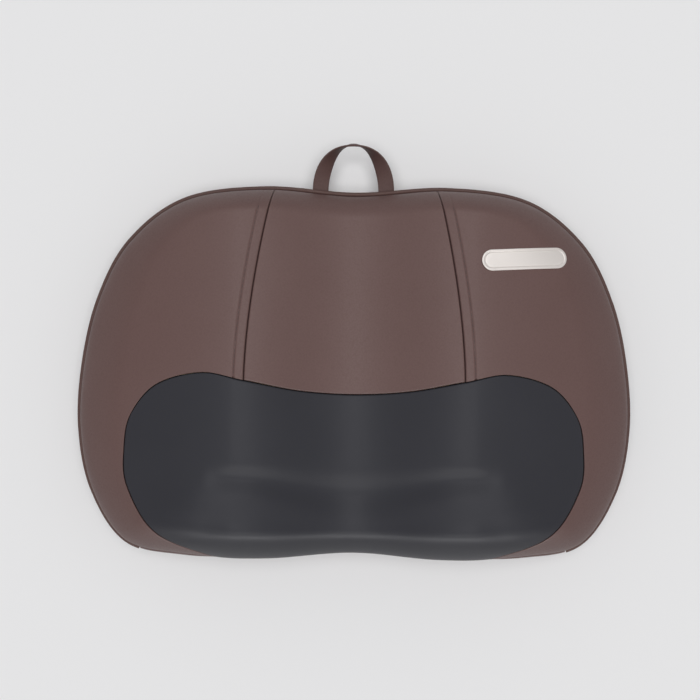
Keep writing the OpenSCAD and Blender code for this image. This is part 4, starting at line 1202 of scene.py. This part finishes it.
@dataclass
class EdgeBands:
    """The bands round the sides, and the piping cord along the front seam."""

    form: CushionForm
    low_z: float = 3.4
    high_z: float = 35.1
    outer: float = 0.4
    turn_in: float = 2.0
    turn_most: float = 2.4
    belly: float = 1.05
    belly_power: float = 6.0
    inner: float = 3.3
    fill: float = 0.8
    corner_k: float = 8.3
    corner_gap: float = 0.012
    corner_full: float = 0.9
    piping_r: float = 1.75
    piping_z: float = 37.2
    panel_gap: float = 0.3
    outer_points: int = 22
    inner_points: int = 6
    side_steps: int = 500
    low_steps: int = 200
    piping_steps: int = 700
    piping_sides: int = 16

    def section(self) -> Array:
        """Inset and height round the band: a full outer side that turns in by a power, and a flat inner side.

        Returns:
            Points by two numbers.
        """
        t = np.linspace(0, 1, self.outer_points)
        inset = self.outer + self.turn_in * np.abs(2 * t - self.belly) ** self.belly_power
        outer = np.stack([np.minimum(inset, self.turn_most), mix(self.low_z, self.high_z, t)], axis=-1)
        s = np.linspace(1, 0, self.inner_points)
        back = np.stack([np.full_like(s, self.inner), mix(self.low_z, self.high_z, s)], axis=-1)
        return np.concatenate([outer, back])

    def along(self, k: Array, inset: Array, z: Array) -> Shell:
        """A closed section carried along the outline.

        Args:
            k: Places along the outline.
            inset: Inset round the section, for each place or for all.
            z: Height round the section.

        Returns:
            The closed tube.
        """
        inset = np.broadcast_to(inset, (len(k), len(z)))
        plan = self.form.edge_at(np.broadcast_to(k[:, None], inset.shape), inset)
        return tube(lift(plan, np.broadcast_to(z, inset.shape)))

    def band(self, k: Array, full: float = 0.0) -> Shell:
        """The band's section along the outline.

        Args:
            k: Places along the outline.
            full: How much fuller the outer side is at the lower corners.

        Returns:
            The band.
        """
        inset, z = self.section().T
        out = full * self.form.corner_share(self.form.outline_at(k)[:, 0])
        return self.along(k, inset - out[:, None] * (inset < self.inner), z)

    def piping(self) -> Shell:
        """A round cord whose outer side lies on the outline.

        Returns:
            The cord.
        """
        k = np.linspace(-self.corner_k, self.corner_k, self.piping_steps)
        turn = np.linspace(0, 2 * pi, self.piping_sides, endpoint=False)
        inset = self.piping_r * (1 - np.cos(turn))
        return self.along(k, inset, self.piping_z + self.piping_r * np.sin(turn))

    def build(self) -> list[bpy.types.Object]:
        """Makes both bands and the piping, and cuts the control panel's opening.

        Returns:
            The pieces.
        """
        side = Piece("side_band_leather", "brown_leather", ("side_band",))
        around = np.linspace(-self.corner_k, self.corner_k, self.side_steps)
        made = side.make(self.band(around), LEATHERETTE)
        cut_box(made, *panel_room(self.panel_gap))
        made.data.set_sharp_from_angle(angle=radians(side.sharp_deg))
        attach(made, side.body.value)
        start = self.corner_k + self.corner_gap
        below = np.linspace(start, self.form.spans - start, self.low_steps)
        low = Piece("bottom_band_leather", "brown_leather", ("bottom_band",))
        bottom = low.place(self.band(below, self.corner_full), LEATHERETTE)
        # The cord's leatherette is painted a shade darker: painted shade beside the wing's edge
        cord = Piece("edge_piping_leather", "brown_leather", ("edge_piping",))
        return [made, bottom, cord.place(self.piping(), PIPING_LEATHERETTE_PAINTED_SHADE)]


@dataclass
class BackPanel:
    """The flat woven back, with a rounded edge."""

    form: CushionForm
    thickness: float = 3.0
    inset: float = 3.6
    edge_r: float = 1.4
    hub: float = 0.02
    first_ring: float = 0.1
    around: int = 360
    rings: int = 24
    edge_rings: int = 6

    def shell(self) -> Shell:
        """Rings from the middle of the back out to its edge, round it, and back to the middle inside.

        Returns:
            The panel.
        """
        k = np.linspace(0, self.form.spans, self.around, endpoint=False)
        out = np.concatenate([[self.hub], np.linspace(self.first_ring, 1, self.rings)])
        flat = np.zeros_like(out)
        turn = np.linspace(0, pi / 2, self.edge_rings)
        share = np.concatenate([out, np.ones(self.edge_rings + 1), out[::-1]])
        inset = np.concatenate([flat + self.edge_r, self.edge_r * (1 - np.sin(turn)), [0], flat]) + self.inset
        rise = self.edge_r * (1 - np.cos(turn))
        z = np.concatenate([flat, rise, [self.thickness], flat + self.thickness])
        edge = self.form.edge_at(np.broadcast_to(k, (len(z), len(k))), inset[:, None] * np.ones(len(k)))
        return tube(lift(edge * share[:, None, None], z[:, None]))

    def build(self) -> list[bpy.types.Object]:
        """Makes the back panel."""
        return [Piece("back_panel_weave", "back_fabric", ("back_panel",)).place(self.shell(), BACK_WEAVE)]


@dataclass
class CarryLoop:
    """The twisted strap at the top edge, whose ends are sewn in under the piping."""

    middle: tuple[float, float, float] = (-2.0, 138.58, 32.25)
    rise: float = 35.0
    span: float = 50.0
    width: float = 12.0
    thickness: float = 1.6
    twist_deg: float = 102.0
    twist_power: float = 1.6
    tuck: float = 1.5
    bend_from: float = 137.5
    bend_to: float = 146.0
    steps: int = 150
    sides: int = 28
    side_power: float = 0.25
    face_power: float = 0.5

    def shell(self) -> Shell:
        """A flat strap along half an ellipse.

        Its width turns from along the edge to a little past upright, by a sine of a power of
        the way to the top. Its section is a circle squared off by powers of sine and cosine.

        Returns:
            The strap.
        """
        t = np.linspace(0, 1, self.steps)
        a = pi * (1 - t)
        flat = np.zeros_like(t)
        out = unit(np.stack([np.cos(a) * self.rise, np.sin(a) * self.span / 2, flat], axis=-1))
        along = np.stack([out[:, 1], -out[:, 0], flat], axis=-1)
        way = (1 - np.abs(2 * t - 1)) ** self.twist_power
        twist = radians(self.twist_deg) * np.sin(pi / 2 * way)
        wide = out * np.cos(twist)[:, None] + np.array([0, 0, 1]) * np.sin(twist)[:, None]
        thick = np.cross(along, wide)
        x, y, z = self.middle
        path = np.stack([x + self.span / 2 * np.cos(a), y + self.rise * np.sin(a), flat + z], axis=-1)
        path = np.concatenate([path[:1] - (0, self.tuck, 0), path, path[-1:] - (0, self.tuck, 0)])
        wide = np.concatenate([wide[:1], wide, wide[-1:]])
        thick = np.concatenate([thick[:1], thick, thick[-1:]])
        turn = np.linspace(0, 2 * pi, self.sides, endpoint=False)
        c, s = np.cos(turn), np.sin(turn)
        side = np.sign(c) * np.abs(c) ** self.side_power * self.width / 2
        face = np.sign(s) * np.abs(s) ** self.face_power * self.thickness / 2
        return tube(path[:, None] + wide[:, None] * side[:, None] + thick[:, None] * face[:, None])

    def build(self) -> list[bpy.types.Object]:
        """Makes the loop.

        Returns:
            The piece.
        """
        piece = Piece("carry_loop_strap", "loop_leather", ("carry_loop",), Body.LOOP)
        # The strap's leatherette is painted darker: painted shade of the loop's inner faces
        made = piece.make(self.shell(), STRAP_LEATHERETTE_PAINTED_SHADE)
        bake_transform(made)
        return [made]


@dataclass
class Badge:
    """The bare badge on the right wing: a round-ended plate with a groove inside a raised rim."""

    covers: FrontCovers
    middle: tuple[float, float] = (124.0, 85.0)
    length: float = 64.0
    width: float = 15.5
    tilt_deg: float = 3.2
    seat: float = 0.1
    plate: float = 1.1
    rim_inset: tuple[float, ...] = (2.5, 2.2, 1.9, 1.3, 0.6, 0.2, 0, 0)
    rim_rise: tuple[float, ...] = (0, -0.3, 0, 0.3, 0.3, 0.2, -0.1)
    hub: float = 0.01
    first_ring: float = 0.08
    rings: int = 9
    end_points: int = 40
    side_points: int = 30

    def shell(self) -> Shell:
        """Round-ended rings from the middle out to the rim's groove, over the rim and down to the wing.

        Returns:
            The badge.
        """
        straight = (self.length - self.width) / 2
        rim = len(self.rim_inset)
        share = np.concatenate([[self.hub], np.linspace(self.first_ring, 1, self.rings), np.ones(rim)])
        radius = self.width / 2 - np.concatenate([np.full(self.rings + 1, self.rim_inset[0]), self.rim_inset])
        rise = np.concatenate([np.zeros(self.rings + 1), self.rim_rise, [self.seat - self.plate]])
        end = np.linspace(-pi / 2, pi / 2, self.end_points)
        side = np.linspace(straight, -straight, self.side_points + 2)[1:-1]
        quarter, half = np.full_like(side, pi / 2), np.full_like(end, straight)
        turn = np.concatenate([end, quarter, end + pi, -quarter])
        middle = np.concatenate([half, side, -half, -side])
        x = share[:, None] * (middle + radius[:, None] * np.cos(turn))
        y = share[:, None] * radius[:, None] * np.sin(turn)
        c, s = np.cos(radians(self.tilt_deg)), np.sin(radians(self.tilt_deg))
        plan = np.stack([self.middle[0] + c * x - s * y, self.middle[1] + s * x + c * y], axis=-1)
        return tube(lift(plan, self.seat_height(plan) + self.plate + rise[:, None]))

    def seat_height(self, plan: Array) -> Array:
        """Height of the right wing round the badge: a polynomial fitted to the cover's points.

        Args:
            plan: Points by two numbers.

        Returns:
            Their heights.
        """
        wing = self.covers.wing_front.reshape(-1, 3) - (*self.middle, 0)
        near = wing[(np.abs(wing[:, 0]) < self.length / 2) & (np.abs(wing[:, 1]) < self.width)]

        def terms(x: Array, y: Array) -> Array:
            """The powers of x and y up to the third along the badge and the second across it."""
            return np.stack([x**0, x, y, x * x, x * y, y * y, x**3, x * x * y], axis=-1)

        fit = np.linalg.lstsq(terms(near[:, 0], near[:, 1]), near[:, 2], rcond=None)[0]
        off = plan - np.array(self.middle)
        return terms(off[..., 0], off[..., 1]) @ fit

    def build(self) -> list[bpy.types.Object]:
        """Makes the badge."""
        piece = Piece("badge_plate", "badge_metal", ("badge",), sharp_deg=30)
        return [piece.place(self.shell(), BADGE_METAL)]


@dataclass
class FoamBlocks:
    """The four foam blocks under the covers: at both sides of the gear housing, above it and on its lid."""

    form: CushionForm
    drop: float = 12.0
    inset: float = 12.0
    low_z: float = 3.3
    gap: float = 1.2
    soft_gap: float = 0.3
    side_low_k: float = 8.2
    high_range: tuple[float, float] = (0.5, 3.0)
    side_tip: float = 14.0
    side_rim: float = 3.0
    side_low_y: float = -117.0
    sweep_y: float = -14.0
    panel_gap: float = 1.0
    cable_half: float = 3.0
    cable_top: float = 10.8
    overcut: float = 1.0
    side_grid: tuple[int, int] = (70, 40)
    upper_grid: tuple[int, int] = (40, 80)
    center_grid: tuple[int, int] = (30, 80)

    def block(self, plan: Array, low_z: float) -> Shell:
        """A block over a grid in plan, from a flat bottom up to a drop below the front."""
        top = lift(plan, self.form.height(plan) - self.drop)
        return slab(top, lift(plan, low_z))

    def side(self, house_x: float) -> Shell:
        """The right block, from the housing's wall out to the side band.

        Args:
            house_x: Half width of the housing.

        Returns:
            The block.
        """
        v, u = (np.linspace(0, 1, count) for count in self.side_grid)
        inner_x = house_x + self.gap
        high_k = self.form.edge_k(inner_x + self.side_tip, self.inset, *self.high_range)
        outer = self.form.edge_at(mix(self.side_low_k, high_k, v), self.inset)
        high_y = self.form.edge_at(np.array(high_k), self.inset)[1] - self.side_rim
        inner = np.stack([np.full_like(v, inner_x), mix(self.side_low_y, high_y, v)], axis=-1)
        return self.block(mix(inner[:, None], outer[:, None], u[None, :, None]), self.low_z)

    def upper(self, house_x: float, house_top: float) -> Shell:
        """The block between the housing and the top edge.

        Args:
            house_x: Half width of the housing.
            house_top: The y of its upper wall.

        Returns:
            The block.
        """
        v, u = np.linspace(0, 1, self.upper_grid[0]), np.linspace(-1, 1, self.upper_grid[1])
        high_k = self.form.edge_k(house_x, self.inset, *self.high_range)
        low = np.stack([u * house_x, np.full_like(u, house_top + self.gap)], axis=-1)
        high = self.form.edge_at(u * high_k, self.inset)
        return self.block(mix(low[None], high[None], v[:, None, None]), self.low_z)

    def center(self, house_x: float, house_top: float, lid_z: float) -> Shell:
        """The block on the housing's lid, behind the sweep of the heads.

        Args:
            house_x: Half width of the housing.
            house_top: The y of its upper wall.
            lid_z: Height of the lid.

        Returns:
            The block.
        """
        v, u = np.linspace(0, 1, self.center_grid[0]), np.linspace(-1, 1, self.center_grid[1])
        x = np.broadcast_to(u * (house_x - self.gap), self.center_grid)
        y = np.broadcast_to(mix(self.sweep_y, house_top - self.gap, v)[:, None], self.center_grid)
        return self.block(np.stack([x, y], axis=-1), lid_z + self.soft_gap)

    def build(self) -> list[bpy.types.Object]:
        """Makes the blocks, with room for the control box and its cable in the right one.

        Returns:
            The pieces.
        """
        house_x, house_top, lid_z = box_mm("upper_housing")[1]
        side = self.side(house_x)
        shells = {
            "left_foam": mirrored(side),
            "upper_foam": self.upper(house_x, house_top),
            "center_foam": self.center(house_x, house_top, lid_z),
        }
        made = [Piece(f"{name}_block", "foam", (name,)).place(shell, FOAM) for name, shell in shells.items()]
        right = Piece("right_foam_block", "foam", ("right_foam",))
        cut = right.make(side, FOAM)
        low, high = panel_room(self.panel_gap)
        low[2] = self.low_z - self.overcut
        cut_box(cut, low, high)
        middle = (low[1] + high[1]) / 2
        start = np.array([house_x, middle - self.cable_half, low[2]])
        cut_box(cut, start, np.array([low[0] + self.overcut, middle + self.cable_half, self.cable_top]))
        cut.data.set_sharp_from_angle(angle=radians(right.sharp_deg))
        return [*made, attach(cut, right.body.value)]


@dataclass
class ButtonMarks:
    """Generic raised marks on the two buttons: a ring with a bar for power, waves for heat."""

    radius: float = 2.6
    ring_deg: tuple[float, float] = (125.0, 415.0)
    bar: tuple[float, float] = (0.4, 3.2)
    wave_at: tuple[float, ...] = (-1.8, 0.0, 1.8)
    wave_half: float = 2.4
    wave_out: float = 0.45
    line_r: float = 0.22
    sink: float = 0.05
    ring_points: int = 40
    bar_points: int = 8
    wave_points: int = 24

    def power(self) -> Shell:
        """An open ring with an upright bar in its gap.

        Returns:
            The mark.
        """
        turn = np.linspace(*np.radians(self.ring_deg), self.ring_points)
        up = np.linspace(*self.bar, self.bar_points)
        lines = [(self.radius * np.cos(turn), self.radius * np.sin(turn)), (0 * up, up)]
        return self.on_face("power_button", lines)

    def heat(self) -> Shell:
        """Three upright sine waves.

        Returns:
            The mark.
        """
        t = np.linspace(0, 1, self.wave_points)
        up = mix(-self.wave_half, self.wave_half, t)
        lines = [(at + self.wave_out * np.sin(2 * pi * t), up) for at in self.wave_at]
        return self.on_face("heat_button", lines)

    def on_face(self, node: str, lines: list[tuple[Array, Array]]) -> Shell:
        """Raised lines on a button's outer face.

        Args:
            node: The button's node.
            lines: Distances across and up from the middle of the face.

        Returns:
            The lines as round cords.
        """
        low, high = box_mm(node)
        _, y, z = (low + high) / 2
        paths = [
            np.stack([np.full_like(across, high[0] - self.sink), y + across, z + up], axis=-1)
            for across, up in lines
        ]
        return joined([tube(round_tube(path, self.line_r)) for path in paths])

    def build(self) -> list[bpy.types.Object]:
        """Makes both marks.

        Returns:
            The pieces.
        """
        power = Piece("power_mark", "black_plastic", body=Body.POWER_KEY)
        heat = Piece("heat_mark", "black_plastic", body=Body.HEAT_KEY)
        return [power.place(self.power(), BLACK_ABS), heat.place(self.heat(), BLACK_ABS)]


def dress_cad_nodes() -> None:
    """Gives each node of the part that stays its slot's finish."""
    for row in frame["record"]["subparts"]:
        node = frame["nodes"][row["node"]]
        node.data.materials.clear()
        node.data.materials.append(SLOT_FINISH[row["material_slot"]].material())


# The studio


@dataclass(frozen=True)
class Softbox:
    """A lamp that gives only highlights: its name, place and size in metres, and power in watts."""

    name: str
    at: tuple[float, float, float]
    size: tuple[float, float]
    power: float

    def hang(self) -> None:
        """Hangs the lamp, facing the cushion's middle."""
        light = bpy.data.lights.new(self.name, "AREA")
        light.shape = "RECTANGLE"
        light.size, light.size_y = self.size
        light.energy = self.power
        made = bpy.data.objects.new(self.name, light)
        made.location = self.at
        made.rotation_euler = (-made.location).to_track_quat("-Z", "Y").to_euler()
        made.visible_camera = False
        made.visible_diffuse = False
        bpy.context.scene.collection.objects.link(made)


@dataclass
class Studio:
    """Pale floor, soft light from above and around, and the camera over the cushion."""

    camera_at: tuple[float, float, float] = (-3.43, 17.15, 1200.0)
    roll_deg: float = 0.55
    lens_mm: float = 78.7
    sensor_mm: float = 36.0
    far: float = 100.0
    floor_size: float = 80.0
    floor_colour: str = "E6E6E7"
    floor_rough: float = 0.9
    floor_specular: float = 0.1
    sky_colour: str = "FFFFFF"
    sky_strength: float = 0.36
    backdrop_strength: float = 0.79
    key_strength: float = 1.95
    key_angle_deg: float = 38.0
    softboxes: tuple[Softbox, ...] = (
        Softbox("upper_softbox", (0.0, 0.3, 2.2), (0.6, 1.7), 19.0),
        Softbox("lower_softbox", (0.0, -2.0, 0.6), (1.8, 0.5), 48.0),
        Softbox("front_softbox", (0.0, -1.3, 1.7), (1.2, 0.5), 20.0),
        Softbox("back_softbox", (0.0, 1.5, 1.6), (1.6, 0.5), 12.0),
    )

    def floor(self) -> None:
        """A plain floor under the cushion's back."""
        corners = np.array([(-1, -1, 0), (1, -1, 0), (1, 1, 0), (-1, 1, 0)]) * self.floor_size / 2
        mesh = bpy.data.meshes.new("floor")
        mesh.from_pydata(corners.tolist(), [], [(0, 1, 2, 3)])
        made = bpy.data.objects.new("floor", mesh)
        bpy.context.scene.collection.objects.link(made)
        # Emulsion paint, rolled on: dull and even
        material = bpy.data.materials.new("painted_floor")
        material.use_nodes = True
        shader = material.node_tree.nodes["Principled BSDF"]
        shader.inputs["Base Color"].default_value = linear(self.floor_colour)
        shader.inputs["Roughness"].default_value = self.floor_rough
        shader.inputs["Specular IOR Level"].default_value = self.floor_specular
        mesh.materials.append(material)

    def key(self) -> None:
        """An even, wide light from straight above, which gives no highlights."""
        light = bpy.data.lights.new("overhead", "SUN")
        light.energy = self.key_strength
        light.angle = radians(self.key_angle_deg)
        made = bpy.data.objects.new("overhead", light)
        made.visible_glossy = False
        bpy.context.scene.collection.objects.link(made)

    def camera(self) -> None:
        """A camera that looks straight down, with +Y up in the frame."""
        lens = bpy.data.cameras.new("camera")
        lens.lens = self.lens_mm
        lens.sensor_width = self.sensor_mm
        lens.clip_end = self.far
        made = bpy.data.objects.new("camera", lens)
        made.location = np.array(self.camera_at) * MM
        made.rotation_euler = (0, 0, radians(self.roll_deg))
        bpy.context.scene.collection.objects.link(made)
        bpy.context.scene.camera = made

    def sky(self) -> None:
        """An even surround: weak where it lights the cushion, pale where it's seen or mirrored."""
        world = bpy.data.worlds.new("surround")
        world.use_nodes = True
        tree = world.node_tree
        ray = add_node(tree, "ShaderNodeLightPath").outputs
        seen = ray["Is Camera Ray"]
        for other in ("Is Glossy Ray", "Is Transmission Ray"):
            either = add_node(tree, "ShaderNodeMath", {"operation": "MAXIMUM"}, {0: seen, 1: ray[other]})
            seen = either.outputs[0]
        level = {"To Min": self.sky_strength, "To Max": self.backdrop_strength}
        strength = add_node(tree, "ShaderNodeMapRange", level, {"Value": seen})
        back = tree.nodes["Background"]
        back.inputs["Color"].default_value = linear(self.sky_colour)
        tree.links.new(strength.outputs["Result"], back.inputs["Strength"])
        bpy.context.scene.world = world

    def build(self) -> None:
        """Sets up the studio."""
        self.floor()
        self.sky()
        self.key()
        for softbox in self.softboxes:
            softbox.hang()
        self.camera()
        bpy.context.scene.view_settings.view_transform = "Standard"


def main() -> None:
    """Builds the studio and each sub-assembly in order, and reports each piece."""
    logging.basicConfig(level=logging.INFO, format="%(name)s %(message)s")
    Studio().build()
    dress_cad_nodes()
    form = CushionForm()
    plan = SeamPlan(form)
    filling = Filling()
    covers = FrontCovers(form, plan, filling)
    for part in (
        covers,
        MassagePad(form, plan, filling),
        EdgeBands(form),
        BackPanel(form),
        FoamBlocks(form),
        CarryLoop(),
        Badge(covers),
        ButtonMarks(),
    ):
        for piece in part.build():
            LOG.info("%s: %d faces", piece.name, len(piece.data.polygons))
    bpy.context.view_layer.update()


if __name__ == "__main__":
    main()
